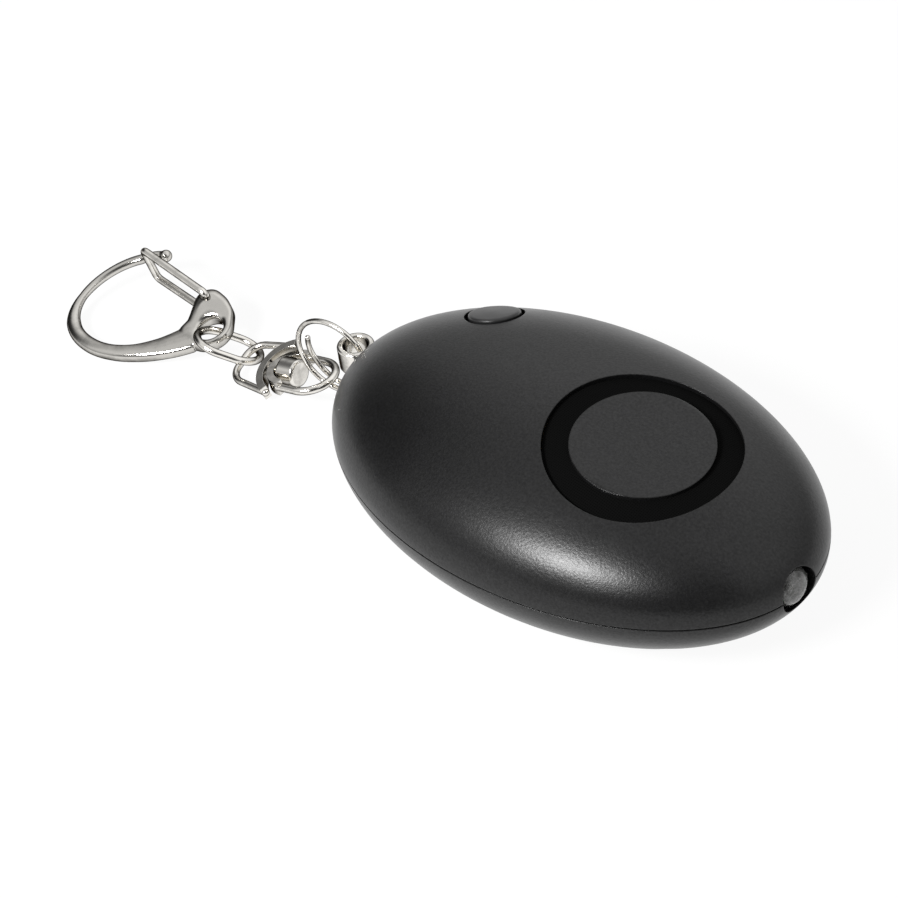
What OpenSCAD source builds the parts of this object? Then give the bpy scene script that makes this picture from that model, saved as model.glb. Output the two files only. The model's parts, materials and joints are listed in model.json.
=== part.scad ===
// Key-ring personal alarm: an egg-shaped two-shell case with a ring-shaped sound slot,
// a torch lamp in the nose and a pull pin at the rear that carries a short chain and a snap hook.
// Origin at the middle of the flat base, +X to the lamp, +Z up, millimetres.

/* [Case] */
// Length of the case over its two tips
case_l = 66; // [62:0.5:74]
// Width of the case
case_w = 41.2; // [40:0.2:48]
// Rise of the crown over the parting line
crown_h = 11.4; // [11:0.1:13]
// Depth of the belly's full curve under the parting line
belly_d = 12.2; // [11.8:0.1:14]
// Height of the parting line over the flat base
seam_z = 9.6; // [9.2:0.1:10.4]
// Wall of both shells
wall = 1.8; // [1.5:0.1:2]
// Height of the shadow groove along the parting line
reveal_h = 0.2; // [0.15:0.05:0.4]
// Depth of the shadow groove
reveal_d = 0.25; // [0.2:0.05:0.5]
// Height of the tongue that keys the shells together
tongue_h = 1.2; // [0.8:0.1:1.6]
// Thickness of the tongue
tongue_t = 0.7; // [0.5:0.05:0.8]
// Play round the tongue
tongue_gap = 0.12; // [0.05:0.01:0.2]

/* [Sound outlet] */
// Distance of the outlet from the middle of the case, toward the nose
outlet_x = 11.3; // [9:0.1:12]
// Lean of the outlet's axis toward the nose, in degrees
outlet_tilt = 6.9; // [4:0.1:9]
// Height of the flat disc over the parting line
disc_h = 9.8; // [9.4:0.1:10.2]
// Radius of the flat disc
disc_r = 8.1; // [7:0.1:8.6]
// Least thickness of the flat disc
disc_t = 1.6; // [1.2:0.1:2]
// Outer radius of the ring slot
slot_r = 11.1; // [10.2:0.1:11.4]
// Number of sunk spokes that carry the disc
spoke_count = 4; // [3:1:6]
// Width of a spoke
spoke_w = 2; // [1.2:0.1:3]
// Thickness of a spoke
spoke_t = 1.2; // [0.8:0.1:1.4]
// Depth of the spokes' tops under the disc's face
spoke_drop = 1.4; // [0.9:0.1:1.4]

/* [Sounder] */
// Radius of the brass sounder plate
piezo_r = 13.5; // [12.8:0.1:13.8]
// Thickness of the brass plate
plate_t = 0.3; // [0.2:0.05:0.4]
// Radius of the ceramic on the plate
ceramic_r = 10; // [8:0.1:11]
// Thickness of the ceramic
ceramic_t = 0.25; // [0.15:0.05:0.3]
// Depth of the plate under the disc's face
piezo_drop = 4.7; // [4.6:0.1:5]
// Radius of the sound chamber over the plate
chamber_r = 12.2; // [11.8:0.1:12.4]
// Wall of the skirt round the plate
skirt_t = 1; // [0.7:0.1:1.2]
// Height of the skirt under the plate's seat
skirt_h = 1; // [0.7:0.1:1.3]
// Play round the plate
piezo_gap = 0.15; // [0.05:0.05:0.3]

/* [Button] */
// Distance of the button behind the middle of the case
button_back = 19.3; // [18:0.1:20]
// Distance of the button from the centre line
button_side = 8.5; // [7.5:0.1:9]
// Radius of the button's cap
button_r = 3.1; // [2.6:0.05:3.3]
// Open gap round the cap
button_gap = 0.45; // [0.25:0.05:0.6]
// Height of the cap over the case
button_proud = 0.35; // [0.2:0.05:0.8]
// Width of the hidden flange beyond the hole
button_flange = 0.7; // [0.4:0.05:1]
// Thickness of the flange
flange_t = 0.9; // [0.6:0.05:1.2]
// Clearance of the flange under the case
flange_gap = 0.3; // [0.2:0.05:0.5]
// Travel of the button
button_travel = 0.5; // [0.3:0.05:0.6]
// Side of the square switch body
switch_w = 4.6; // [4:0.1:5]
// Height of the switch body
switch_h = 3.3; // [2.8:0.1:3.8]
// Radius of the switch plunger
plunger_r = 1.1; // [0.8:0.05:1.3]
// Height of the plunger over the switch body
plunger_up = 1.7; // [1.2:0.1:2.2]

/* [Torch lamp] */
// Radius of the lamp's lens
led_r = 2.5; // [2.2:0.05:2.5]
// Radius of the lamp's base flange
led_flange_r = 2.9; // [2.6:0.05:2.95]
// Length of the lamp
led_l = 8.6; // [8:0.1:9]
// Depth of the lens tip inside the nose
led_sunk = 0.3; // [0:0.05:0.8]
// Play round the lens in its hole
led_gap = 0.2; // [0.1:0.05:0.3]

/* [Case screws] */
// Distance of the rear screws behind the middle
screw_back = 12; // [11:0.1:13]
// Distance of the rear screws from the centre line
screw_back_side = 13.5; // [13:0.1:13.8]
// Distance of the front screws before the middle
screw_front = 22.5; // [22:0.1:23]
// Distance of the front screws from the centre line
screw_front_side = 10.2; // [9.8:0.1:10.4]
// Radius of the screw's shank
screw_r = 0.88; // [0.8:0.01:1]
// Radius of the screw's head
head_r = 1.9; // [1.7:0.05:2]
// Height of the screw's head
head_h = 1.3; // [1:0.1:1.5]
// Wall of the screw bosses
boss_wall = 0.9; // [0.7:0.05:1]
// Height of the screw head's seat over the base
screw_seat = 6.6; // [6.2:0.1:7]
// Length of thread in the upper boss
thread_l = 2.4; // [2:0.1:2.6]

/* [Circuit] */
// Drop of the board's top face under the parting line
board_drop = 2.2; // [2:0.1:2.4]
// Thickness of the board
board_t = 1.2; // [1:0.1:1.6]
// Clearance of the board inside the belly's wall
board_gap = 0.3; // [0.2:0.05:0.8]
// Radius of the button cells
cell_r = 5.8; // [5.6:0.05:5.85]
// Height of a button cell
cell_h = 5.4; // [5:0.1:5.5]
// Distance of the cells from the middle, toward the nose
cell_x = 8; // [7:0.1:8.5]
// Thickness of the contact strip
strip_t = 0.4; // [0.3:0.05:0.5]
// Reach of the sprung contact
leaf_reach = 2.1; // [1.6:0.1:2.4]

/* [Pull pin] */
// Radius of the pin's shank
pin_r = 1; // [0.8:0.05:1.2]
// Running gap round the shank
pin_gap = 0.1; // [0.05:0.01:0.12]
// Depth of the pin's tip inside the case
pin_depth = 11; // [10:0.1:11.6]
// Outer radius of the pin's eye
eye_r = 2.25; // [2.15:0.05:2.5]
// Radius of the eye's hole
eye_hole = 1.45; // [1.4:0.05:1.5]
// Height of the eye
eye_h = 3.2; // [2.6:0.1:3.4]
// Distance of the eye's centre behind the case's tip
eye_out = 1.8; // [1.6:0.1:3]
// Clearance of the eye in its shallow pocket
eye_pocket = 0.35; // [0.25:0.05:0.6]

/* [Split ring] */
// Radius of the ring's centreline
ring_r = 5.06; // [4.9:0.02:5.3]
// Radius of the ring's wire
ring_wire = 0.33; // [0.28:0.01:0.36]
// Spacing of the ring's two lapping turns
ring_lap = 1.12; // [1.08:0.01:1.2]
// Turn of the ring about the vertical, in degrees
ring_yaw = 9.2; // [5:0.1:25]
// Angle at which the ring passes the eye, in degrees
ring_at_eye = 24.2; // [15:0.1:28]

/* [Swivel] */
// Length from the loop's arch to the stirrup's tip
swivel_l = 10; // [9.6:0.1:11]
// Half width of the stirrup, to its wire's middle
stirrup_w = 3.05; // [2.8:0.05:3.1]
// Radius of the stirrup's wire
stirrup_wire = 0.5; // [0.4:0.02:0.52]
// Half width of the loop at the ends of its arch
loop_w = 3.7; // [3.65:0.05:4]
// Half width of the loop at its back bar
loop_tail = 2.7; // [2.6:0.05:3]
// Depth of the loop's arch, from its crown to its ends
loop_rise = 2.3; // [2.1:0.05:2.35]
// Depth of the loop behind its arch
loop_back = 4.1; // [4:0.1:4.5]
// Corner radius of the loop
loop_corner = 2.2; // [1.8:0.1:2.4]
// Turn of the loop about the rivet, in degrees
loop_roll = 14; // [0:1:30]
// Radius of the loop's wire
loop_wire = 0.45; // [0.36:0.02:0.46]
// Thickness of the two arched bands
band_t = 0.9; // [0.7:0.05:0.95]
// Height of the two arched bands
band_h = 1.8; // [1.4:0.1:1.9]
// Gap between the two nested bands
band_gap = 0.6; // [0.5:0.05:0.7]
// Radius of the rivet's post
rivet_r = 0.7; // [0.5:0.02:0.75]
// Running gap round the rivet's post
rivet_gap = 0.08; // [0.04:0.01:0.1]
// Radius of the rivet's head
rivet_head = 1.75; // [1.4:0.05:1.9]
// Length of the rivet's head
rivet_head_l = 2.7; // [2.2:0.1:3]
// Turn of the swivel about the vertical, in degrees
swivel_yaw = 8.1; // [4:0.1:16]
// Rise of the swivel toward the ring, in degrees
swivel_rise = 9.6; // [8:0.1:12]

/* [Oval link] */
// Half length of the link, to its wire's middle
link_l = 4.04; // [3.94:0.02:4.18]
// Half width of the link, to its wire's middle
link_w = 3.05; // [2.95:0.02:3.15]
// Radius of the link's wire
link_wire = 0.5; // [0.42:0.01:0.52]

/* [Snap hook] */
// Half thickness of the hook's head
hook_half = 0.9; // [0.8:0.02:0.95]
// Radius of the eye in the hook's head
hook_hole = 1.65; // [1.6:0.05:1.8]
// Radius of the hook's round head
hook_head = 3.05; // [3:0.05:3.2]
// Tilt of the hook on the table, in degrees
hook_tilt = 14; // [10:0.1:16]
// Half spacing of the gate's two legs
gate_half = 2.7; // [2.5:0.1:3]
// Radius of the gate's wire
gate_wire = 0.5; // [0.42:0.01:0.52]
// Running gap round the gate's pivots
gate_gap = 0.06; // [0.03:0.01:0.1]
// Radius of the ball at the hook's nose
knob_r = 0.8; // [0.7:0.05:1]

/* [Hidden] */
$fn = 64;
egg_fn = 96;
over = 1;
wide = 60;

half_l = case_l / 2;
half_w = case_w / 2;
shell_black = "#2c2c2e";
nickel = "#c9c7c2";
brass = "#c8a24a";
board_green = "#2f6b3c";
chip_black = "#1d1d1f";

button_at = [-button_back, button_side];
button_hole = button_r + button_gap;
led_base = half_l - led_sunk - led_l;
led_bore = led_r + led_gap;
led_rib_x = led_base + 1.8;
led_rib_t = 1.2;
led_flange_t = 1;
lead_t = 0.5;
lead_pitch = 2.54;

tube_r = piezo_r + piezo_gap + skirt_t;
plate_face = piezo_drop + plate_t;

screw_clear = 0.22;
screw_hole = screw_r + screw_clear;
pilot_r = screw_r + 0.02;
head_hole = head_r + screw_clear;
boss_low_r = head_hole + boss_wall;
boss_top_r = pilot_r + boss_wall + 0.5;
screw_spots = [
    for (s = [-1, 1])
        each [[-screw_back, s * screw_back_side], [screw_front, s * screw_front_side]]
];

board_top = seam_z - board_drop;
board_low = board_top - board_t;
board_front = led_base - 2.2;
board_notch = 0.3;
cell_z = wall + 0.1 + cell_r;
stack_half = 1.5 * cell_h;
leaf_y = stack_half + leaf_reach;
cell_play = 0.4;
holder_t = 1;
strip_w = 7;
strip_low = wall + 0.6;
strip_high = cell_z + 3;
window_y = leaf_y + strip_t + 0.8;
tab_w = 3;
tab_l = 1.6;
post_r = 1.4;
post_spots = [
    for (s = [-1, 1])
        each [[-button_back - 2.7, s * 7.5], [cell_x + cell_r + 3.7, s * 11.5]]
];

switch_well = board_top + 1.5;
plunger_low = switch_well + button_travel + 0.1;
plunger_high = board_top + switch_h + plunger_up;
stem_r = plunger_r + 0.3;

pin_tip = -half_l + pin_depth;
pin_bore = pin_r + pin_gap;
eye_x = -half_l - eye_out;
eye_at = [eye_x, 0, seam_z];
socket_len = 7.7;
socket_end = pin_tip + 1.4;
socket_half = 2.6;
socket_top = seam_z + 2.6;
detent_x = pin_tip - 2.2;
detent_half = 0.5;
detent_r = pin_r - 0.25;

// Chain places, each measured from the piece it hangs on
ring_across = [cos(ring_yaw), sin(ring_yaw), 0];
ring_axis = [-sin(ring_yaw), cos(ring_yaw), 0];
up = [0, 0, 1];
ring_seat = [0.42, 0.38, 0];
ring_at = eye_at + ring_seat - ring_r * (cos(ring_at_eye) * ring_across + sin(ring_at_eye) * up);
hang_angle = 260.3;
hang_gap = 0.55;
hang_side = -0.5;
hang_r = ring_r - ring_wire - stirrup_wire - hang_gap;
tip_at = ring_at + hang_r * (cos(hang_angle) * ring_across + sin(hang_angle) * up)
    + hang_side * ring_axis;
swivel_dir = [
    cos(swivel_yaw) * cos(swivel_rise),
    sin(swivel_yaw) * cos(swivel_rise),
    sin(swivel_rise)
];
swivel_at = tip_at - swivel_l * swivel_dir;
loop_bar_at = swivel_at - loop_back * swivel_dir;
link_turn = [-17, 23.9, 34.6];
link_dir = [
    cos(link_turn.z) * cos(link_turn.y),
    sin(link_turn.z) * cos(link_turn.y),
    -sin(link_turn.y)
];
link_seat = [0.73, 2.19, -0.46];
link_at = loop_bar_at + link_seat - link_l * link_dir;
hook_seat = [-0.24, 2.37, -1.17];
hook_at = link_at - link_l * link_dir + hook_seat;

stirrup_arch = band_t + band_gap;
stirrup_mid = stirrup_arch + stirrup_w;
stirrup_end = swivel_l - stirrup_w;
loop_r = (pow(loop_w, 2) + pow(loop_rise, 2)) / (2 * loop_rise);
loop_sweep = atan2(loop_w, loop_r - loop_rise);
loop_lean = atan2(loop_w - loop_tail, loop_rise + loop_back);
rivet_bore = rivet_r + rivet_gap;
collar_r = rivet_r + 0.45;
rivet_collar = stirrup_mid - sqrt(pow(stirrup_w - band_t / 2, 2) - pow(collar_r, 2)) + 0.12;
rivet_step = 0.2;

head_at = [-0.7, 0.1];
shoulder_at = [-1.75, 1.8];
shoulder_r = 2.35;
eye_rim = 0.5;
pivot_at = [-3.1, 3.05];
pivot_lobe = 1.85;
pivot_sunk = 0.55;
gate_bar = [-15.25, 4.1];
gate_dir = atan2(gate_bar.y - pivot_at.y, gate_bar.x - pivot_at.x);
gate_l = norm(gate_bar - pivot_at);
nose = [-14.3, 6.05];
neck = [-16.9, 4.05];
heel = [-12.6, -9.38];
root = [-1.6, -2.15];
hook_curves = [
    [nose, [-15.15, 6], [-16.15, 5.1], neck],
    [neck, [-21, 0.05], [-21.3, -9.5], heel],
    [heel, [-8.7, -9.32], [-4.4, -6.65], root]
];
curve_steps = [5, 16, 14];
hook_sides = 12;

// Full ellipsoid about the parting line, drawn in from the case by an inset
module egg(inset, rise) {
    l = half_l - inset;
    translate([0, 0, seam_z])
        scale([1, (half_w - inset) / l, (rise - inset) / l])
            sphere(l, $fn = egg_fn);
}

// Upright elliptical cylinder with the case's plan, drawn in by an inset
module plan_oval(inset, low, high) {
    l = half_l - inset;
    translate([0, 0, low])
        scale([1, (half_w - inset) / l, 1])
            cylinder(r = l, h = high - low, $fn = egg_fn);
}

module slab(low, high) {
    translate([-wide, -wide, low])
        cube([2 * wide, 2 * wide, high - low]);
}

module outlet_place() {
    translate([outlet_x, 0, seam_z + disc_h])
        rotate([0, outlet_tilt, 0])
            children();
}

// Cylinder along +X from a point on the parting line
module along_x(from, to, r) {
    translate([from, 0, seam_z])
        rotate([0, 90, 0])
            cylinder(r = r, h = to - from);
}

module led_hole() along_x(led_base - over, half_l + over, led_bore);

module pin_hole() {
    along_x(-half_l - over, -half_l + 2 * wall + over, pin_bore);
    translate(eye_at)
        cylinder(r = eye_r + eye_pocket, h = eye_h + 2 * eye_pocket, center = true);
}

// Seat of the sounder plate, cut into everything that stands near it
module plate_room() {
    outlet_place()
        translate([0, 0, -piezo_drop - skirt_h])
            cylinder(r = piezo_r + piezo_gap, h = skirt_h);
}

module chamber_wall() {
    outlet_place()
        difference() {
            translate([0, 0, -piezo_drop - skirt_h])
                cylinder(r = tube_r, h = piezo_drop + skirt_h);
            translate([0, 0, -piezo_drop - skirt_h - over])
                cylinder(r = chamber_r, h = piezo_drop + skirt_h + 2 * over);
        }
}

module led_rib(low, high) {
    translate([led_rib_x, -half_w, low])
        cube([led_rib_t, case_w, high - low]);
}

// Everything that stands inside the upper shell
module top_features() {
    difference() {
        union() {
            chamber_wall();
            for (p = screw_spots)
                translate([p.x, p.y, seam_z - over])
                    cylinder(r = boss_top_r, h = crown_h);
            led_rib(seam_z - over, seam_z + crown_h);
        }
        plate_room();
        along_x(led_base - over, led_base + led_flange_t + led_gap, led_flange_r + led_gap);
    }
    outlet_place()
        translate([0, 0, -disc_t])
            cylinder(r = disc_r + over, h = disc_t + over);
}

module tongue() {
    skin = 0.05;
    difference() {
        plan_oval(wall - tongue_t, seam_z - tongue_h, seam_z + tongue_t);
        plan_oval(wall - skin, seam_z - tongue_h - over, seam_z + tongue_t + over);
    }
}

module outlet_cut() {
    outlet_place() {
        cylinder(r = slot_r, h = crown_h);
        difference() {
            translate([0, 0, -piezo_drop])
                cylinder(r = slot_r, h = piezo_drop + over);
            translate([0, 0, -piezo_drop - over])
                cylinder(r = disc_r, h = piezo_drop + 3 * over);
        }
    }
}

module spokes() {
    root_in = 0.6;
    outlet_place()
        for (i = [0 : spoke_count - 1])
            rotate([0, 0, (i + 0.5) * 360 / spoke_count])
                translate([disc_r - root_in, -spoke_w / 2, -spoke_drop - spoke_t])
                    cube([slot_r - disc_r + 2 * root_in, spoke_w, spoke_t]);
}

module top_shell() {
    color(shell_black) {
        difference() {
            union() {
                difference() {
                    intersection() {
                        egg(0, crown_h);
                        slab(seam_z, seam_z + 2 * crown_h);
                    }
                    difference() {
                        egg(wall, crown_h);
                        top_features();
                    }
                }
                tongue();
            }
            outlet_cut();
            translate([button_at.x, button_at.y, seam_z + over])
                cylinder(r = button_hole, h = 2 * crown_h);
            led_hole();
            pin_hole();
            for (p = screw_spots)
                translate([p.x, p.y, seam_z - over])
                    cylinder(r = pilot_r, h = thread_l + 0.2 + over);
        }
        spokes();
    }
}

module cell_holder() {
    for (y = [-stack_half - strip_t - holder_t - 0.05, leaf_y + strip_t + 0.05])
        translate([cell_x - cell_r, y, 0])
            cube([2 * cell_r, holder_t, board_low - 0.1]);
    difference() {
        for (y = [-cell_h, cell_h])
            translate([cell_x - cell_r - holder_t, y - holder_t / 2, 0])
                cube([2 * (cell_r + holder_t), holder_t, board_low - 1]);
        translate([cell_x, 0, cell_z])
            rotate([90, 0, 0])
                cylinder(r = cell_r + 0.1, h = 4 * cell_h, center = true);
    }
}

// Everything that stands inside the lower shell
module bottom_features() {
    for (p = screw_spots)
        translate([p.x, p.y, 0])
            cylinder(r = boss_low_r, h = seam_z);
    for (p = post_spots)
        translate([p.x, p.y, 0])
            cylinder(r = post_r, h = board_low);
    cell_holder();
    led_rib(0, seam_z);
}

module bottom_shell() {
    color(shell_black)
        difference() {
            intersection() {
                egg(0, belly_d);
                slab(0, seam_z);
            }
            difference() {
                intersection() {
                    egg(wall, belly_d);
                    slab(wall, seam_z + belly_d);
                }
                bottom_features();
            }
            difference() {
                plan_oval(wall - tongue_t - tongue_gap, seam_z - tongue_h - tongue_gap, seam_z + over);
                plan_oval(wall + tongue_gap, seam_z - tongue_h - over, seam_z + 2 * over);
            }
            difference() {
                plan_oval(-over, seam_z - reveal_h, seam_z + over);
                plan_oval(reveal_d, seam_z - reveal_h - over, seam_z + 2 * over);
            }
            led_hole();
            pin_hole();
            for (p = screw_spots) {
                translate([p.x, p.y, -over])
                    cylinder(r = head_hole, h = screw_seat + over);
                translate([p.x, p.y, 0])
                    cylinder(r = screw_hole, h = seam_z + over);
            }
        }
}

// Four self-tapping screws, heads down
module case_screws() {
    slot_w = 0.5;
    slot_d = 0.6;
    color(nickel)
        for (p = screw_spots)
            translate([p.x, p.y, screw_seat])
                difference() {
                    union() {
                        translate([0, 0, -head_h])
                            cylinder(r = head_r, h = head_h);
                        cylinder(r = screw_r, h = seam_z - screw_seat + thread_l);
                    }
                    for (a = [0, 90])
                        rotate([0, 0, a])
                            translate([-head_r * 0.6, -slot_w / 2, -head_h - over])
                                cube([head_r * 1.2, slot_w, slot_d + over]);
                }
}

module torch_button() {
    low = plunger_high;
    color("#38383a") {
        difference() {
            union() {
                intersection() {
                    egg(-button_proud, crown_h);
                    translate([button_at.x, button_at.y, low])
                        cylinder(r = button_r, h = 2 * crown_h);
                }
                intersection() {
                    egg(wall + flange_gap, crown_h);
                    translate([button_at.x, button_at.y, low])
                        cylinder(r = button_hole + button_flange, h = 2 * crown_h);
                }
            }
            egg(wall + flange_gap + flange_t, crown_h);
        }
        intersection() {
            egg(wall, crown_h);
            translate([button_at.x, button_at.y, low])
                cylinder(r = stem_r, h = crown_h);
        }
    }
}

module torch_led() {
    color("#dfe6ea")
        translate([led_base, 0, seam_z])
            rotate([0, 90, 0]) {
                cylinder(r = led_flange_r, h = led_flange_t);
                cylinder(r = led_r, h = led_l - led_r);
                translate([0, 0, led_l - led_r])
                    sphere(led_r);
            }
}

// Two square leads, bent down onto the board
module led_leads() {
    back = led_base - board_front + 1.4;
    color(nickel)
        for (s = [-1, 1])
            translate([led_base - back, s * lead_pitch / 2 - lead_t / 2, 0]) {
                translate([0, 0, seam_z - lead_t / 2])
                    cube([back, lead_t, lead_t]);
                translate([0, 0, board_top])
                    cube([lead_t, lead_t, seam_z - board_top]);
            }
}

module piezo_plate() {
    color(brass)
        outlet_place()
            translate([0, 0, -plate_face])
                cylinder(r = piezo_r, h = plate_t);
}

module piezo_ceramic() {
    color("#dcdcd6")
        outlet_place()
            translate([0, 0, -plate_face - ceramic_t])
                cylinder(r = ceramic_r, h = ceramic_t);
}

// Height of a face at a depth under the disc, over a point of the centre line
function face_z(x, depth) = seam_z + disc_h - (depth + (x - outlet_x) * sin(outlet_tilt)) / cos(outlet_tilt);

module spring_probe(x, y, depth) {
    barrel_r = 0.9;
    tip_r = 0.5;
    top = face_z(x + tip_r, depth) - 0.05;
    barrel_h = 0.6 * (top - board_top);
    translate([x, y, board_top]) {
        cylinder(r = barrel_r, h = barrel_h);
        cylinder(r = tip_r, h = top - board_top);
    }
}

module piezo_contacts() {
    rim_x = outlet_x - (piezo_r + ceramic_r) / 2;
    color(brass) {
        spring_probe(rim_x, -2, plate_face);
        spring_probe(cell_x + cell_r + 3, 0, plate_face + ceramic_t);
    }
}

module circuit_board() {
    shrink = sqrt(1 - pow((seam_z - board_low) / (belly_d - wall), 2));
    l = (half_l - wall) * shrink - board_gap;
    w = (half_w - wall) * shrink - board_gap;
    color(board_green)
        translate([0, 0, board_low])
            linear_extrude(board_t)
                difference() {
                    intersection() {
                        scale([1, w / l])
                            circle(l, $fn = egg_fn);
                        translate([-half_l, -half_w])
                            square([half_l + board_front, case_w]);
                    }
                    translate([cell_x - cell_r - cell_play, -window_y])
                        square([2 * (cell_r + cell_play), 2 * window_y]);
                    for (p = screw_spots)
                        translate(p)
                            circle(boss_low_r + board_notch);
                }
}

module leg_row(count, pitch, w, reach, h) {
    for (i = [0 : count - 1])
        translate([(i - (count - 1) / 2) * pitch - w / 2, 0, 0]) {
            cube([w, reach, 0.25]);
            cube([w, 0.25, h]);
        }
}

module driver_chip() {
    body = [4.9, 3.9, 1.4];
    color(chip_black)
        translate([-4.5, 6.5, board_top]) {
            translate([-body.x / 2, -body.y / 2, 0.15])
                cube(body);
            for (a = [0, 180])
                rotate([0, 0, a])
                    translate([0, body.y / 2 - 0.05, 0])
                        leg_row(4, 1.27, 0.4, 0.9, 0.9);
        }
}

module drive_transistor() {
    can_r = 2.3;
    can_h = 4.6;
    stand = 1.6;
    flat = 1.3;
    color(chip_black)
        translate([-13.5, -1.5, board_top]) {
            translate([0, 0, stand])
                intersection() {
                    cylinder(r = can_r, h = can_h);
                    translate([-can_r, -can_r, 0])
                        cube([can_r + flat, 2 * can_r, can_h]);
                }
            for (i = [-1 : 1])
                translate([-0.25, i * 1.27 - 0.25, 0])
                    cube([0.5, 0.5, stand + 0.2]);
        }
}

coil_at = [-6.5, -7.5];
coil_r = 4;
coil_core_r = 1.8;
coil_h = 6;
coil_lip = 1;

// Ferrite drum
module coil_core() {
    color("#3a3a3c")
        translate([coil_at.x, coil_at.y, board_top]) {
            cylinder(r = coil_r, h = coil_lip);
            cylinder(r = coil_core_r, h = coil_h);
            translate([0, 0, coil_h - coil_lip])
                cylinder(r = coil_r, h = coil_lip);
        }
}

module coil_winding() {
    color("#b5673a")
        translate([coil_at.x, coil_at.y, board_top + coil_lip])
            difference() {
                cylinder(r = coil_r - 0.5, h = coil_h - 2 * coil_lip);
                translate([0, 0, -over])
                    cylinder(r = coil_core_r, h = coil_h);
            }
}

// Chip resistors and capacitors
module board_parts() {
    chip = [2, 1.25, 0.7];
    spots = [[-1.5, 2], [-1.5, 11], [-9, 2], [-9, 5], [-12, 5], [-15, -7], [-18, -7]];
    color("#8a7a66")
        for (p = spots)
            translate([p.x - chip.x / 2, p.y - chip.y / 2, board_top])
                cube(chip);
}

module tact_switch() {
    foot = 0.8;
    color(chip_black)
        translate([button_at.x, button_at.y, board_top])
            difference() {
                union() {
                    translate([-switch_w / 2, -switch_w / 2, 0])
                        cube([switch_w, switch_w, switch_h]);
                    for (s = [-1, 1])
                        translate([-switch_w / 2 - foot / 2, s * switch_w / 4 - foot / 2, 0])
                            cube([switch_w + foot, foot, 0.3]);
                }
                translate([0, 0, switch_well - board_top])
                    cylinder(r = plunger_r + 0.1, h = switch_h);
            }
}

module switch_plunger() {
    color("#8d8d8f")
        translate([button_at.x, button_at.y, plunger_low])
            cylinder(r = plunger_r, h = plunger_high - plunger_low);
}

module pin_socket() {
    slot_l = 2.2;
    slot_w = 2;
    color(chip_black)
        difference() {
            translate([socket_end - socket_len, -socket_half, board_top])
                cube([socket_len, 2 * socket_half, socket_top - board_top]);
            along_x(socket_end - socket_len - over, pin_tip + 0.6, pin_bore);
            translate([detent_x - slot_l / 2, -slot_w / 2, seam_z])
                cube([slot_l, slot_w, 2 * crown_h]);
        }
}

// Bent strip over the socket, its bend just clear of the pin
module pin_contact() {
    t = 0.3;
    bend = 0.85;
    low = seam_z + pin_r + 0.08;
    high = socket_top;
    tail = socket_end + t;
    color(brass)
        translate([0, 0.8, 0])
            rotate([90, 0, 0])
                linear_extrude(1.6)
                    polygon([
                        [socket_end - socket_len + over, high], [detent_x - bend, high], [detent_x, low],
                        [detent_x + bend, high], [socket_end, high], [socket_end, board_top],
                        [tail, board_top], [tail, high + t], [detent_x + bend - t / 2, high + t],
                        [detent_x, low + 2 * t], [detent_x - bend + t / 2, high + t],
                        [socket_end - socket_len + over, high + t]
                    ]);
}

// One button cell of the stack, its smaller cap toward +Y
module button_cell(i) {
    cap_h = 0.7;
    cap_in = 0.9;
    color("#b9bcc0")
        translate([cell_x, -stack_half + i * cell_h, cell_z])
            rotate([-90, 0, 0]) {
                cylinder(r = cell_r, h = cell_h - cap_h);
                cylinder(r = cell_r - cap_in, h = cell_h);
            }
}

module button_cell_1() button_cell(0);

module button_cell_2() button_cell(1);

module button_cell_3() button_cell(2);

module battery_plate() {
    y = -stack_half - strip_t;
    color(nickel) {
        translate([cell_x - strip_w / 2, y, strip_low])
            cube([strip_w, strip_t, strip_high - strip_low]);
        translate([cell_x - tab_w / 2, -window_y - tab_l, board_top])
            cube([tab_w, window_y + tab_l + y + strip_t, strip_t]);
    }
}

// Strip with a bowed tongue that presses on the stack
module battery_leaf() {
    half = (strip_high - strip_low) / 2;
    reach = leaf_reach - 0.05;
    bow = (half * half + reach * reach) / (2 * reach);
    color(nickel) {
        translate([cell_x - strip_w / 2, leaf_y, strip_low])
            cube([strip_w, strip_t, 2 * half]);
        translate([cell_x - tab_w / 2, leaf_y, board_top])
            cube([tab_w, window_y + tab_l - leaf_y, strip_t]);
        intersection() {
            translate([cell_x - tab_w / 2, leaf_y - reach + bow, strip_low + half])
                rotate([0, 90, 0])
                    difference() {
                        cylinder(r = bow, h = tab_w);
                        translate([0, 0, -over])
                            cylinder(r = bow - strip_t, h = tab_w + 2 * over);
                    }
            translate([0, leaf_y - leaf_reach, strip_low])
                cube([wide, leaf_reach + strip_t / 2, 2 * half]);
        }
    }
}

// Profile of a ring with rounded edges, from inner to outer radius
module soft_ring(inner, outer, h, edge) {
    rotate_extrude() {
        translate([inner + edge, -h / 2])
            square([outer - inner - 2 * edge, h]);
        translate([inner, -h / 2 + edge])
            square([outer - inner, h - 2 * edge]);
        for (r = [inner + edge, outer - edge])
            for (s = [-1, 1])
                translate([r, s * (h / 2 - edge)])
                    circle(edge);
    }
}

module pull_pin() {
    edge = 0.3;
    shank_from = eye_x + (eye_r + eye_hole) / 2;
    color(nickel) {
        translate(eye_at)
            soft_ring(eye_hole, eye_r, eye_h, edge);
        difference() {
            along_x(shank_from, pin_tip - pin_r, pin_r);
            difference() {
                along_x(detent_x - detent_half, detent_x + detent_half, pin_r + over);
                along_x(detent_x - over, detent_x + over, detent_r);
            }
        }
        translate([pin_tip - pin_r, 0, seam_z])
            sphere(pin_r);
    }
}

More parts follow.
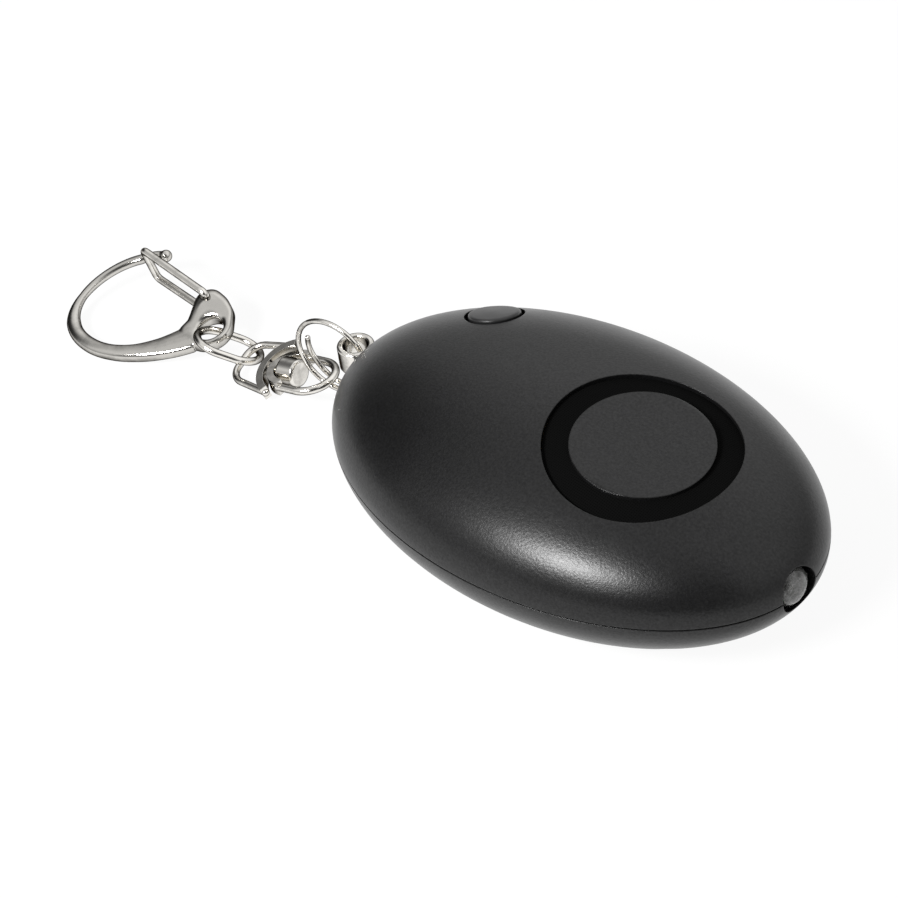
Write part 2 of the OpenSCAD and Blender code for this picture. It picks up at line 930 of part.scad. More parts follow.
// Solid skin over a row of rings, closed by a fan at each end
module skin(rings) {
    n = len(rings[0]);
    m = len(rings);
    sides = [
        for (i = [0 : m - 2], j = [0 : n - 1])
            let (a = i * n + j, b = i * n + (j + 1) % n)
            each [[a, b, a + n], [b, b + n, a + n]]
    ];
    first = [for (j = [1 : n - 2]) [0, j + 1, j]];
    last = [for (j = [1 : n - 2]) [(m - 1) * n, (m - 1) * n + j, (m - 1) * n + j + 1]];
    polyhedron([for (ring = rings) each ring], concat(sides, first, last));
}

// Split ring: the wire starts inside its own turn, swings out beside it and then runs on round
ring_start = 165;
ring_end = 690;
ring_step = 15;
lap_swing = 90;
lap_first = 25;
lap_from = 330;
lap_to = 390;

function ease(t) = let (k = max(0, min(1, t))) k * k * (3 - 2 * k);

function lap_turn(a) = lap_first + (90 - lap_first) * max(0, min(1, (a - ring_start) / lap_swing));

function ring_radius(a) = ring_r - ring_lap * cos(lap_turn(a));

function ring_side(a) = ring_lap * sin(lap_turn(a)) * (1 - ease((a - lap_from) / (lap_to - lap_from)));

function ring_point(a) = [ring_radius(a) * cos(a), ring_side(a), ring_radius(a) * sin(a)];

ring_path = [for (a = [ring_start : ring_step : ring_end]) ring_point(a)];
ring_self_gap = min([
    for (i = [0 : len(ring_path) - 1], j = [0 : len(ring_path) - 1])
        if (j - i > 180 / ring_step) norm(ring_path[i] - ring_path[j]) - 2 * ring_wire
]);
echo(ring_self_gap = ring_self_gap);

module split_ring() {
    sides = 6;
    color(nickel)
        translate(ring_at)
            rotate([0, 0, ring_yaw])
                skin([
                    for (a = [ring_start : ring_step : ring_end])
                        [
                            for (k = [0 : sides - 1])
                                let (t = k * 360 / sides)
                                ring_point(a)
                                    + ring_wire * (cos(t) * [cos(a), 0, sin(a)] + sin(t) * [0, 1, 0])
                        ]
                ]);
}

module swivel_place() {
    translate(swivel_at)
        rotate([0, -swivel_rise, swivel_yaw])
            children();
}

// Flat band bent to an arch about the upright axis, its crown at the origin and open toward +X
module arch(r, sweep) {
    translate([r, 0, 0])
        rotate([0, 0, 180 - sweep])
            rotate_extrude(angle = 2 * sweep)
                translate([r - band_t / 2, -band_h / 2])
                    square([band_t, band_h]);
}

// Round wire between two points of the swivel's or hook's plane
module wire(p, q, r) {
    d = q - p;
    translate([p.x, p.y, 0])
        rotate([0, 90, atan2(d.y, d.x)])
            cylinder(r = r, h = norm(d));
}

module wire_bend(at, bend, from, sweep, r) {
    translate([at.x, at.y, 0])
        rotate([0, 0, from])
            rotate_extrude(angle = sweep)
                translate([bend, 0])
                    circle(r, $fn = 32);
}

module swivel_stirrup() {
    color(nickel)
        swivel_place() {
            difference() {
                translate([stirrup_arch, 0, 0])
                    arch(stirrup_w, 90);
                rotate([0, 90, 0])
                    cylinder(r = rivet_bore, h = stirrup_mid);
            }
            for (s = [-1, 1])
                wire([stirrup_mid - band_t / 2, s * stirrup_w], [stirrup_end, s * stirrup_w], stirrup_wire);
            wire_bend([stirrup_end, 0], stirrup_w, -90, 180, stirrup_wire);
        }
}

module swivel_loop() {
    turn = [loop_corner - loop_back, loop_tail - loop_corner * (1 - sin(loop_lean)) / cos(loop_lean)];
    leg_from = turn + loop_corner * [-sin(loop_lean), cos(loop_lean)];
    color(nickel)
        swivel_place()
            rotate([loop_roll, 0, 0]) {
                difference() {
                    arch(loop_r, loop_sweep);
                    rotate([0, 90, 0])
                        cylinder(r = rivet_r, h = loop_r, center = true);
                }
                for (s = [-1, 1]) {
                    translate([loop_rise - 0.1, s * (loop_w - 0.02), 0])
                        sphere(band_t * 0.55, $fn = 32);
                    wire([leg_from.x, s * leg_from.y], [loop_rise - 0.1, s * (loop_w - 0.02)], loop_wire);
                }
                wire_bend(turn, loop_corner, 90 + loop_lean, 90 - loop_lean, loop_wire);
                wire_bend([turn.x, -turn.y], loop_corner, 180, 90 - loop_lean, loop_wire);
                wire([-loop_back, -turn.y], [-loop_back, turn.y], loop_wire);
            }
}

// Rivet fixed in the loop's arch, its head free inside the stirrup
module swivel_rivet() {
    edge = 0.35;
    post_from = -band_t / 2;
    head_from = rivet_collar + rivet_step;
    head_to = head_from + rivet_head_l;
    color(nickel)
        swivel_place()
            rotate([0, 90, 0])
                rotate_extrude() {
                    translate([0, post_from])
                        square([rivet_r, head_from - post_from + edge]);
                    translate([0, rivet_collar])
                        square([collar_r, rivet_step + edge]);
                    translate([0, head_from])
                        square([rivet_head - edge, rivet_head_l]);
                    translate([0, head_from + edge])
                        square([rivet_head, rivet_head_l - 2 * edge]);
                    for (y = [head_from + edge, head_to - edge])
                        translate([rivet_head - edge, y])
                            circle(edge, $fn = 32);
                }
}

module oval_link() {
    straight = link_l - link_w;
    color(nickel)
        translate(link_at)
            rotate(link_turn) {
                for (s = [-1, 1]) {
                    wire([-straight, s * link_w], [straight, s * link_w], link_wire);
                    wire_bend([s * straight, 0], link_w, -90 * s, 180, link_wire);
                }
            }
}

module hook_place() {
    translate(hook_at)
        rotate([hook_tilt, 0, 0])
            children();
}

// Point and heading of a cubic curve given by its four control points
function curve_at(c, t) = pow(1 - t, 3) * c[0] + 3 * t * pow(1 - t, 2) * c[1]
    + 3 * t * t * (1 - t) * c[2] + pow(t, 3) * c[3];

function curve_dir(c, t) = let (d = pow(1 - t, 2) * (c[1] - c[0]) + 2 * t * (1 - t) * (c[2] - c[1])
    + t * t * (c[3] - c[2])) d / norm(d);

// Half width and half height of the hook's bow, from its nose to its head
function bow_w(u) = lookup(u, [
    [0, 0.5], [0.7, 0.52], [1, 0.64], [1.25, 0.58], [1.5, 0.52], [1.62, 0.7], [1.75, 0.92], [2, 1], [2.25, 1], [2.5, 1.12],
    [2.75, 1.48], [3, 2]
]);

function bow_h(u) = lookup(u, [[0, 0.5], [1, 0.6], [1.5, 0.55], [1.75, 0.75], [2, 0.84], [3, hook_half]]);

hook_stations = [
    for (i = [0 : 2], k = [0 : curve_steps[i] - (i < 2 ? 1 : 0)])
        [i, k / curve_steps[i]]
];

module hook_bow() {
    skin([
        for (s = hook_stations)
            let (
                p = curve_at(hook_curves[s[0]], s[1]),
                d = curve_dir(hook_curves[s[0]], s[1]),
                u = s[0] + s[1]
            )
            [
                for (k = [0 : hook_sides - 1])
                    let (t = k * 360 / hook_sides, w = bow_w(u) * cos(t))
                    [p.x - d.y * w, p.y + d.x * w, -bow_h(u) * sin(t)]
            ]
    ]);
}

module round_plate(at, r) {
    edge = hook_half * 0.8;
    translate([at.x, at.y, 0])
        rotate_extrude($fn = 32) {
            translate([0, -hook_half])
                square([r - edge, 2 * hook_half]);
            translate([0, edge - hook_half])
                square([r, 2 * (hook_half - edge)]);
            for (s = [-1, 1])
                translate([r - edge, s * (hook_half - edge)])
                    circle(edge, $fn = 16);
        }
}

// Eye through the head, its two rims rounded over
module hook_eye() {
    rim_at = hook_hole + eye_rim;
    flat = hook_half - eye_rim;
    rotate_extrude()
        difference() {
            translate([0, -hook_half - over])
                square([rim_at, 2 * (hook_half + over)]);
            translate([hook_hole, -flat])
                square([2 * eye_rim, 2 * flat]);
            for (s = [-1, 1])
                translate([rim_at, s * flat])
                    circle(eye_rim, $fn = 32);
        }
}

module hook_body() {
    color(nickel)
        hook_place()
            difference() {
                union() {
                    hook_bow();
                    hull() {
                        round_plate(head_at, hook_head);
                        round_plate(shoulder_at, shoulder_r);
                        round_plate(pivot_at, pivot_lobe);
                    }
                    translate([nose.x, nose.y, 0])
                        sphere(knob_r, $fn = 32);
                }
                hook_eye();
                for (s = [-1, 1])
                    translate([pivot_at.x, pivot_at.y, s * (hook_half - pivot_sunk + over)])
                        cylinder(r = gate_wire + gate_gap, h = 2 * over, center = true);
            }
}

// Wire gate: two legs and an end bar, its feet turned into the head as pivots
module hook_gate() {
    foot = pivot_sunk - 0.08;
    foot_l = gate_half - hook_half + foot;
    color(nickel)
        hook_place()
            translate([pivot_at.x, pivot_at.y, 0])
                rotate([0, 0, gate_dir]) {
                    for (s = [-1, 1]) {
                        translate([0, 0, s * gate_half]) {
                            wire([0, 0], [gate_l, 0], gate_wire);
                            for (x = [0, gate_l])
                                translate([x, 0, 0])
                                    sphere(gate_wire, $fn = 32);
                        }
                        translate([0, 0, s * (gate_half - foot_l / 2)])
                            cylinder(r = gate_wire, h = foot_l, center = true);
                    }
                    translate([gate_l, 0, 0])
                        cylinder(r = gate_wire, h = 2 * gate_half, center = true);
                }
}

top_shell();
bottom_shell();
case_screws();
torch_button();
torch_led();
led_leads();
piezo_plate();
piezo_ceramic();
piezo_contacts();
circuit_board();
driver_chip();
drive_transistor();
coil_core();
coil_winding();
board_parts();
tact_switch();
switch_plunger();
pin_socket();
pin_contact();
button_cell_1();
button_cell_2();
button_cell_3();
battery_plate();
battery_leaf();
pull_pin();
split_ring();
swivel_stirrup();
swivel_loop();
swivel_rivet();
oval_link();
hook_body();
hook_gate();
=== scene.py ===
"""Looks of a key-ring personal alarm: grained black shells, push button, torch lamp,
and a nickel chain of pull pin, split ring, swivel, oval link and snap hook."""
import json
import math

import bpy
import numpy as np
from mathutils import Matrix, Vector


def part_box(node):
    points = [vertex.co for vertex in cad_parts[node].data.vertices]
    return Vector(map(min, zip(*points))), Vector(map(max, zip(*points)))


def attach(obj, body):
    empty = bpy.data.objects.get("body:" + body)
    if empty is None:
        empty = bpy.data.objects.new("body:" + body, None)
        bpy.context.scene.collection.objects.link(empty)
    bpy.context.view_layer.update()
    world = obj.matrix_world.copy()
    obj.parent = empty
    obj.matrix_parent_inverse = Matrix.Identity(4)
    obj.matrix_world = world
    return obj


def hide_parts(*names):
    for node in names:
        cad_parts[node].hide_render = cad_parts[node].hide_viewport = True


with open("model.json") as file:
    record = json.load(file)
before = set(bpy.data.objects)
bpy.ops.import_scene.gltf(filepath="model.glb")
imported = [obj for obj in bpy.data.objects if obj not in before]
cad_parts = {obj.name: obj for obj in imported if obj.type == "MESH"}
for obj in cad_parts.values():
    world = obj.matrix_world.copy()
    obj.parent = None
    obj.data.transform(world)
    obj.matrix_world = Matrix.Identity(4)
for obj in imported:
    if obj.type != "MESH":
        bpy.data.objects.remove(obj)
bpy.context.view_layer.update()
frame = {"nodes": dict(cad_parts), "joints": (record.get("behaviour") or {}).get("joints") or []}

bl_info = {
    "name": "Key-ring alarm looks",
    "version": (1, 0, 0),
    "blender": (4, 5, 0),
    "location": "View3D > Sidebar > Alarm",
    "description": "Surfaces, finishes and studio of a key-ring personal alarm",
    "category": "Object",
}

MM = 0.001
NOISE_LOW, NOISE_HIGH = 0.3, 0.7  # range that a noise mostly keeps to
END_SHARE = 0.98  # share of the quarter turn on a wire's round end, so that its last ring keeps a width
ASKEW = np.array([0.31, 0.77, 0.55])  # a direction off every axis that a piece is turned about
NODES = frame["nodes"]
JOINTS = {joint["name"]: joint for joint in frame["joints"]}


def pin_point(joint):
    """Anchor of a joint in millimetres."""
    return np.array(JOINTS[joint]["pos_m"]) / MM


def pin_axis(joint):
    """Unit axis of a joint."""
    axis = np.array(JOINTS[joint]["axis"], float)
    return axis / np.linalg.norm(axis)


TOP_LOW, TOP_HIGH = (np.array(corner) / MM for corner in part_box("top_shell"))
BUTTON_LOW, BUTTON_HIGH = (np.array(corner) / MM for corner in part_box("torch_button"))
LED_LOW, LED_HIGH = (np.array(corner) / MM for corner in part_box("torch_led"))
SEAM = float(LED_LOW[2] + LED_HIGH[2]) / 2
BUTTON_FOOT = float(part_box("switch_plunger")[1][2]) / MM


# Surfaces


def ease(t):
    """Smooth step from 0 to 1: three t squared less two t cubed, held flat outside."""
    t = np.clip(t, 0, 1)
    return t * t * (3 - 2 * t)


def unit(vectors):
    """Each row divided by its own length."""
    return vectors / np.linalg.norm(vectors, axis=-1, keepdims=True)


def skin(rows, closed=False):
    """Faces over a grid of points: every row is a closed ring, each ring is tied to the next,
    and an open run gets a pole in the middle of its first and last ring. Gives the points and
    groups of faces with one corner count each."""
    count, around, _ = rows.shape
    index = np.arange(count * around).reshape(count, around)
    first = index if closed else index[:-1]
    second = np.roll(index, -1, 0) if closed else index[1:]
    quads = np.stack([first, np.roll(first, -1, 1), np.roll(second, -1, 1), second], -1)
    points = rows.reshape(-1, 3)
    groups = [quads.reshape(-1, 4)]
    if not closed:
        poles = np.stack([rows[0].mean(0), rows[-1].mean(0)])
        start = np.stack([np.roll(index[0], -1), index[0], np.full(around, len(points))], -1)
        stop = np.stack([index[-1], np.roll(index[-1], -1), np.full(around, len(points) + 1)], -1)
        points = np.concatenate([points, poles])
        groups += [start, stop]
    return points, groups


def outward(points, groups):
    """Turns the faces round where the volume summed over their fans comes out negative."""
    volume = 0.0
    for faces in groups:
        for k in range(1, faces.shape[1] - 1):
            a, b, c = (points[faces[:, corner]] for corner in (0, k, k + 1))
            volume += np.einsum("ij,ij->", a, np.cross(b, c))
    if volume < 0:
        groups = [faces[:, ::-1] for faces in groups]
    return points, groups


def merged(*parts):
    """Several closed surfaces as one list of points and groups of faces."""
    points, groups, offset = [], [], 0
    for part in parts:
        part_points, part_groups = outward(*part)
        points.append(part_points)
        groups += [faces + offset for faces in part_groups]
        offset += len(part_points)
    return np.concatenate(points), groups


def profile(around, power):
    """Unit section: a superellipse, round at power 2 and boxy with soft corners above it."""
    t = np.linspace(0, 2 * np.pi, around, endpoint=False)
    bend = 2 / np.asarray(power, float)[..., None]
    side = np.sign(np.cos(t)) * np.abs(np.cos(t)) ** bend
    rise = np.sign(np.sin(t)) * np.abs(np.sin(t)) ** bend
    return side, rise


def carry(path, across, upright, half_w, half_h, power=2.0, around=28):
    """A section carried along a path: each point of the path plus the section's side times
    the across direction and its rise times the upright direction."""
    count = len(path)
    side, rise = profile(around, np.broadcast_to(power, count))
    half_w = np.broadcast_to(half_w, count)[:, None, None]
    half_h = np.broadcast_to(half_h, count)[:, None, None]
    upright = np.broadcast_to(upright, (count, 3))
    wide = half_w * side[..., None] * across[:, None]
    tall = half_h * rise[..., None] * upright[:, None]
    return path[:, None] + wide + tall


def tangents(path):
    """Heading at each point: the step from the point before to the point after."""
    return unit(np.gradient(path, axis=0))


def evenly(path, step):
    """The same line with points an even step apart along its length."""
    run = np.concatenate([[0], np.cumsum(np.linalg.norm(np.diff(path, axis=0), axis=1))])
    at = np.linspace(0, run[-1], int(round(run[-1] / step)) + 1)
    return np.stack([np.interp(at, run, path[:, k]) for k in range(path.shape[1])], -1)


def round_ends(path, radius, rings=7):
    """Lengths added before and after a path so that a wire ends in a half ball: along the
    heading by the sine and thinned to the cosine of the same angle. Gives path and radii."""
    heading = tangents(path)
    angle = np.linspace(0, np.pi / 2, rings)[1:] * END_SHARE
    head = path[0] - heading[0] * radius * np.sin(angle[::-1, None])
    tail = path[-1] + heading[-1] * radius * np.sin(angle[:, None])
    thin = np.cos(angle)
    return (
        np.concatenate([head, path, tail]),
        np.concatenate([thin[::-1], np.ones(len(path)), thin]),
    )


def filleted(corners, radius, count=10):
    """A line through corners with each inner corner rounded: two straight legs joined by the
    quadratic curve that has the corner as its middle control point."""
    corners = np.asarray(corners, float)
    corner = corners[1:-1]
    before = corner + radius * unit(corners[:-2] - corner)
    after = corner + radius * unit(corners[2:] - corner)
    t = np.linspace(0, 1, count)[None, :, None]
    bends = (1 - t) ** 2 * before[:, None] + 2 * t * (1 - t) * corner[:, None] + t * t * after[:, None]
    return np.concatenate([corners[:1], bends.reshape(-1, corners.shape[1]), corners[-1:]])


def revolve(radii, heights, centre, axis, around=48):
    """A profile of radius and height turned about an axis through a centre."""
    axis = unit(np.asarray(axis, float))
    side = unit(np.cross(axis, ASKEW))
    other = np.cross(axis, side)
    t = np.linspace(0, 2 * np.pi, around, endpoint=False)
    spoke = np.cos(t)[:, None] * side + np.sin(t)[:, None] * other
    return centre + np.asarray(radii)[:, None, None] * spoke + np.asarray(heights)[:, None, None] * axis


def make(name, shape, body, material, nodes=(), sharp=None):
    """A mesh object at the origin from points in millimetres, riding on its body."""
    points, groups = outward(*shape)
    mesh = bpy.data.meshes.new(name)
    mesh.from_pydata((points * MM).tolist(), [], [face for group in groups for face in group.tolist()])
    mesh.validate()
    mesh.polygons.foreach_set("use_smooth", np.ones(len(mesh.polygons), bool))
    if sharp:
        mesh.set_sharp_from_angle(angle=math.radians(sharp))
    mesh.materials.append(material)
    piece = bpy.data.objects.new(name, mesh)
    bpy.context.scene.collection.objects.link(piece)
    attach(piece, body)
    if nodes:
        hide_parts(*nodes)
    return piece


def fuse(piece, voxel, passes):
    """Overlapping closed parts of one casting become one skin, with soft fillets where they meet."""
    remesh = piece.modifiers.new("one_skin", "REMESH")
    remesh.mode = "VOXEL"
    remesh.voxel_size = voxel * MM
    remesh.use_smooth_shade = True
    soften = piece.modifiers.new("fillets", "SMOOTH")
    soften.factor = 0.5
    soften.iterations = passes


def dress(node, material):
    """Gives a carried-over node its finish."""
    data = NODES[node].data
    data.materials.clear()
    data.materials.append(material)


def toward(azimuth, height):
    """Unit direction of an azimuth and a height in degrees."""
    a, e = math.radians(azimuth), math.radians(height)
    return Vector((math.cos(a) * math.cos(e), math.sin(a) * math.cos(e), math.sin(e)))


# Finishes


def fill(band, stops):
    """Sets the stops of a colour band, as (position, colour) pairs."""
    while len(band.elements) < len(stops):
        band.elements.new(0.5)
    for element, (position, colour) in zip(band.elements, stops):
        element.position = position
        element.color = (*colour, 1)


def combine(tree, operation, first, second):
    """Output of a maths node that joins two sockets."""
    node = tree.nodes.new("ShaderNodeMath")
    node.operation = operation
    tree.links.new(first, node.inputs[0])
    tree.links.new(second, node.inputs[1])
    return node.outputs[0]


class Nodes:
    """A small hand for wiring one material's nodes."""

    def __init__(self, name):
        self.material = bpy.data.materials.get(name) or bpy.data.materials.new(name)
        self.material.use_nodes = True
        self.tree = self.material.node_tree
        self.tree.nodes.clear()
        self.shader = self.add("ShaderNodeBsdfPrincipled")
        out = self.add("ShaderNodeOutputMaterial")
        self.link(self.shader.outputs["BSDF"], out.inputs["Surface"])
        self.place = self.add("ShaderNodeTexCoord").outputs["Object"]

    def add(self, kind, **settings):
        node = self.tree.nodes.new(kind)
        for key, value in settings.items():
            setattr(node, key, value)
        return node

    def link(self, start, stop):
        self.tree.links.new(start, stop)

    def feed(self, start, socket):
        """Links an output to the shader's socket of that name."""
        self.link(start, self.shader.inputs[socket])

    def noise(self, size, detail=2.0, roughness=0.5, stretch=None):
        """Noise whose spots are about the given size in millimetres."""
        node = self.add("ShaderNodeTexNoise")
        node.inputs["Scale"].default_value = 1 / (size * MM)
        node.inputs["Detail"].default_value = detail
        node.inputs["Roughness"].default_value = roughness
        place = self.place
        if stretch:
            turn = self.add("ShaderNodeMapping")
            turn.inputs["Scale"].default_value = stretch
            self.link(place, turn.inputs["Vector"])
            place = turn.outputs["Vector"]
        self.link(place, node.inputs["Vector"])
        return node.outputs["Fac"]

    def ramp(self, factor, *stops):
        """Colours along a factor, as (position, colour) pairs."""
        node = self.add("ShaderNodeValToRGB")
        fill(node.color_ramp, stops)
        self.link(factor, node.inputs["Fac"])
        return node.outputs["Color"]

    def spread(self, factor, low, high):
        """A noise's usual range spread over the given one."""
        node = self.add("ShaderNodeMapRange")
        node.inputs["From Min"].default_value = NOISE_LOW
        node.inputs["From Max"].default_value = NOISE_HIGH
        node.inputs["To Min"].default_value = low
        node.inputs["To Max"].default_value = high
        self.link(factor, node.inputs["Value"])
        return node.outputs["Result"]

    def relief(self, height, depth, strength, edge=0.0):
        """Bump of a depth in millimetres, over edges eased by a small radius."""
        bump = self.add("ShaderNodeBump")
        bump.inputs["Strength"].default_value = strength
        bump.inputs["Distance"].default_value = depth * MM
        self.link(height, bump.inputs["Height"])
        if edge:
            soft = self.add("ShaderNodeBevel", samples=4)
            soft.inputs["Radius"].default_value = edge * MM
            self.link(soft.outputs["Normal"], bump.inputs["Normal"])
        self.feed(bump.outputs["Normal"], "Normal")

    def set(self, **sockets):
        for key, value in sockets.items():
            self.shader.inputs[key.replace("_", " ")].default_value = value


def shade(colour, factor):
    """A colour with its three parts times a factor."""
    return tuple(min(1.0, part * factor) for part in colour[:3])


def surface(name, colour, tint=1.25, spots=1.5, rough=(0.35, 0.45), metal=0.0,
            grain=0.2, depth=0.02, strength=0.2, edge=0.0, stretch=None):
    """A finish whose colour and roughness drift in soft spots, with a fine grain in relief."""
    n = Nodes(name)
    drift = n.noise(spots, detail=3.0)
    tones = n.ramp(drift, (NOISE_LOW, shade(colour, 1 / tint)), (NOISE_HIGH, shade(colour, tint)))
    n.feed(tones, "Base Color")
    n.feed(n.spread(drift, *rough), "Roughness")
    n.set(Metallic=metal)
    n.relief(n.noise(grain, stretch=stretch), depth, strength, edge)
    return n.material


def grained_black():
    """Spark-textured black plastic: a pebbled relief that also dulls the gloss in specks, over a
    slow drift of roughness."""
    colour = bpy.context.scene.alarm_colours.case
    n = Nodes("case_black")
    drift = n.noise(7.0)
    speck = n.noise(0.3, detail=3.0, roughness=0.6)
    n.feed(n.ramp(speck, (0.35, shade(colour, 0.8)), (0.68, shade(colour, 1.25))), "Base Color")
    n.feed(n.spread(drift, low=0.28, high=0.33), "Roughness")
    n.feed(n.spread(speck, low=0.29, high=0.43), "Specular IOR Level")
    n.relief(speck, depth=0.03, strength=0.68, edge=0.2)
    return n.material


def satin_black():
    """Satin black plastic of the button, smoother than the shells."""
    return surface("button_black", bpy.context.scene.alarm_colours.button, tint=1.12, spots=2.0,
                   rough=(0.36, 0.42), grain=0.3, depth=0.012, strength=0.15, edge=0.2)


def waves(n, direction, scale):
    """Straight waves along one of the object's axes."""
    node = n.add("ShaderNodeTexWave", bands_direction=direction)
    node.inputs["Scale"].default_value = scale
    n.link(n.place, node.inputs["Vector"])
    return node.outputs["Fac"]


def painted_shade_gauze():
    """Dull near-black woven gauze, whose near-zero black paints the shade inside the ring slot: crossed
    waves in relief.
    """
    n = Nodes("painted_shade_gauze")
    threads = 1200
    weave = combine(n.tree, "MAXIMUM", waves(n, "X", threads), waves(n, "Y", threads))
    # painted shade: the weave's colour is kept near zero so the slot under it reads as shade
    n.feed(n.ramp(weave, (0.2, (0.001, 0.001, 0.001)), (0.9, (0.003, 0.003, 0.003))), "Base Color")
    n.set(Roughness=0.95, Specular_IOR_Level=0.05)
    n.relief(weave, depth=0.08, strength=0.5)
    return n.material


def nickel_plate(name, level, spots, rough, grain, depth, strength, edge):
    """Plated metal: hazed in soft spots, with painted reflection in its base colour: a little lighter where
    it faces the eye, and painted shade, darker, where it turns away, standing in for the dark studio
    surroundings that bright metal mirrors."""
    colour = shade(bpy.context.scene.alarm_colours.nickel, level)
    n = Nodes(name)
    haze = n.noise(spots, detail=4.0, roughness=0.6)
    # painted reflection and shade: the base colour is lighter facing the eye and darkens as the surface
    # turns away, for dark reflected surroundings
    painted_turn_shade = n.add("ShaderNodeLayerWeight").outputs["Facing"]
    haze_and_painted_shade = combine(n.tree, "ADD", painted_turn_shade, n.spread(haze, low=-0.1, high=0.1))
    stops = ((0.0, 1.06), (0.28, 0.95), (0.5, 0.5), (0.7, 0.13), (1.0, 0.07))
    n.feed(n.ramp(haze_and_painted_shade, *((at, shade(colour, part)) for at, part in stops)), "Base Color")
    n.feed(n.spread(haze, *rough), "Roughness")
    n.set(Metallic=1.0, Specular_Tint=(0.25, 0.24, 0.23, 1))
    n.relief(n.noise(grain, detail=3.0, roughness=0.6), depth, strength, edge)
    return n.material


def bright_nickel():
    """Nickel plate on drawn wire: bright, with a faint haze from handling."""
    return nickel_plate("bright_nickel", level=1.2, spots=1.3, rough=(0.09, 0.18), grain=0.5,
                        depth=0.01, strength=0.06, edge=0.1)


def cast_nickel():
    """Nickel plate on a polished casting: a little darker, with slow waves."""
    return nickel_plate("cast_nickel", level=0.88, spots=1.8, rough=(0.09, 0.18), grain=1.1,
                        depth=0.03, strength=0.1, edge=0.12)


def clear_lens():
    """Water-clear epoxy with a breath of haze inside; the haze's lighter and darker patches in the base
    colour are also painted reflection, standing in for glints caught inside the lens.
    """
    n = Nodes("clear_lens")
    haze = n.noise(0.7)
    # haze and painted reflection: contrasting noise patches in the base colour stand in for light caught
    # inside the lens
    n.feed(n.ramp(haze, (0.38, (0.5, 0.5, 0.48)), (0.64, (1.0, 1.0, 0.99))), "Base Color")
    n.feed(n.spread(haze, low=0.04, high=0.14), "Roughness")
    n.set(IOR=1.52, Transmission_Weight=0.88)
    n.relief(n.noise(1.2, detail=1.0), depth=0.01, strength=0.1)
    return n.material


def enamelled_wire():
    """Copper wire wound in close turns: a fine wave up the drum as relief, and as painted shade that darkens
    the grooves between turns.
    """
    colour = bpy.context.scene.alarm_colours.copper
    n = Nodes("enamelled_wire")
    turns = waves(n, "Z", 1600)
    # painted shade: colour drops to 0.4 in the wave's troughs, the grooves between turns
    n.feed(n.ramp(turns, (0.1, shade(colour, 0.4)), (0.7, colour[:3])), "Base Color")
    n.feed(n.spread(n.noise(0.8), low=0.22, high=0.34), "Roughness")
    n.set(Metallic=0.9)
    n.relief(turns, depth=0.08, strength=0.6)
    return n.material


def masked_board():
    """Solder mask over copper tracks: straight cells slightly lighter where copper lies under."""
    colour = bpy.context.scene.alarm_colours.board
    n = Nodes("board_green")
    tracks = n.add("ShaderNodeTexBrick")
    tracks.inputs["Scale"].default_value = 260
    tracks.inputs["Mortar Size"].default_value = 0.035
    for socket, part in (("Color1", 0.8), ("Color2", 1.0), ("Mortar", 1.7)):
        tracks.inputs[socket].default_value = (*shade(colour, part), 1)
    n.link(n.place, tracks.inputs["Vector"])
    n.feed(tracks.outputs["Color"], "Base Color")
    n.feed(n.spread(n.noise(2.0), low=0.22, high=0.32), "Roughness")
    n.relief(tracks.outputs["Fac"], depth=0.03, strength=0.4)
    return n.material


# Settings


class AlarmSizes(bpy.types.PropertyGroup):
    """Sizes that shape the drawn pieces, in millimetres unless they are angles."""

    case_length: bpy.props.FloatProperty(
        name="Case length", description="Length of the shells over their tips",
        default=float(TOP_HIGH[0] - TOP_LOW[0]), min=40, max=100)
    case_width: bpy.props.FloatProperty(
        name="Case width", description="Width of the shells",
        default=float(TOP_HIGH[1] - TOP_LOW[1]), min=25, max=70)
    crown: bpy.props.FloatProperty(
        name="Crown", description="Rise of the crown over the parting line", default=11.4, min=6, max=20)
    button_r: bpy.props.FloatProperty(
        name="Button radius", description="Radius of the push button's cap", default=3.1, min=2, max=5)
    button_rise: bpy.props.FloatProperty(
        name="Button rise", description="Height of the cap over the shell", default=0.35, min=0, max=1)
    button_edge: bpy.props.FloatProperty(
        name="Button edge", description="Rounding of the cap's rim", default=0.4, min=0.05, max=1)
    outlet_x: bpy.props.FloatProperty(
        name="Outlet place", description="Distance of the sound outlet from the middle, toward the lamp",
        default=11.3, min=5, max=15)
    outlet_lean: bpy.props.FloatProperty(
        name="Outlet lean", description="Lean of the outlet toward the lamp",
        default=math.radians(6.9), subtype="ANGLE")
    outlet_z: bpy.props.FloatProperty(
        name="Outlet height", description="Height of the disc's face over the base",
        default=19.4, min=10, max=30)
    ring_r: bpy.props.FloatProperty(
        name="Ring radius", description="Radius of the split ring's centreline", default=5.06, min=3, max=9)
    ring_wire: bpy.props.FloatProperty(
        name="Ring wire", description="Radius of the split ring's wire", default=0.33, min=0.2, max=0.6)
    ring_lap: bpy.props.FloatProperty(
        name="Ring lap", description="Spacing of the ring's two turns", default=1.12, min=0.7, max=1.5)
    hook_half: bpy.props.FloatProperty(
        name="Hook half thickness", description="Half thickness of the hook's head",
        default=0.9, min=0.5, max=1.5)
    gate_wire: bpy.props.FloatProperty(
        name="Gate wire", description="Radius of the gate's wire", default=0.5, min=0.3, max=0.8)


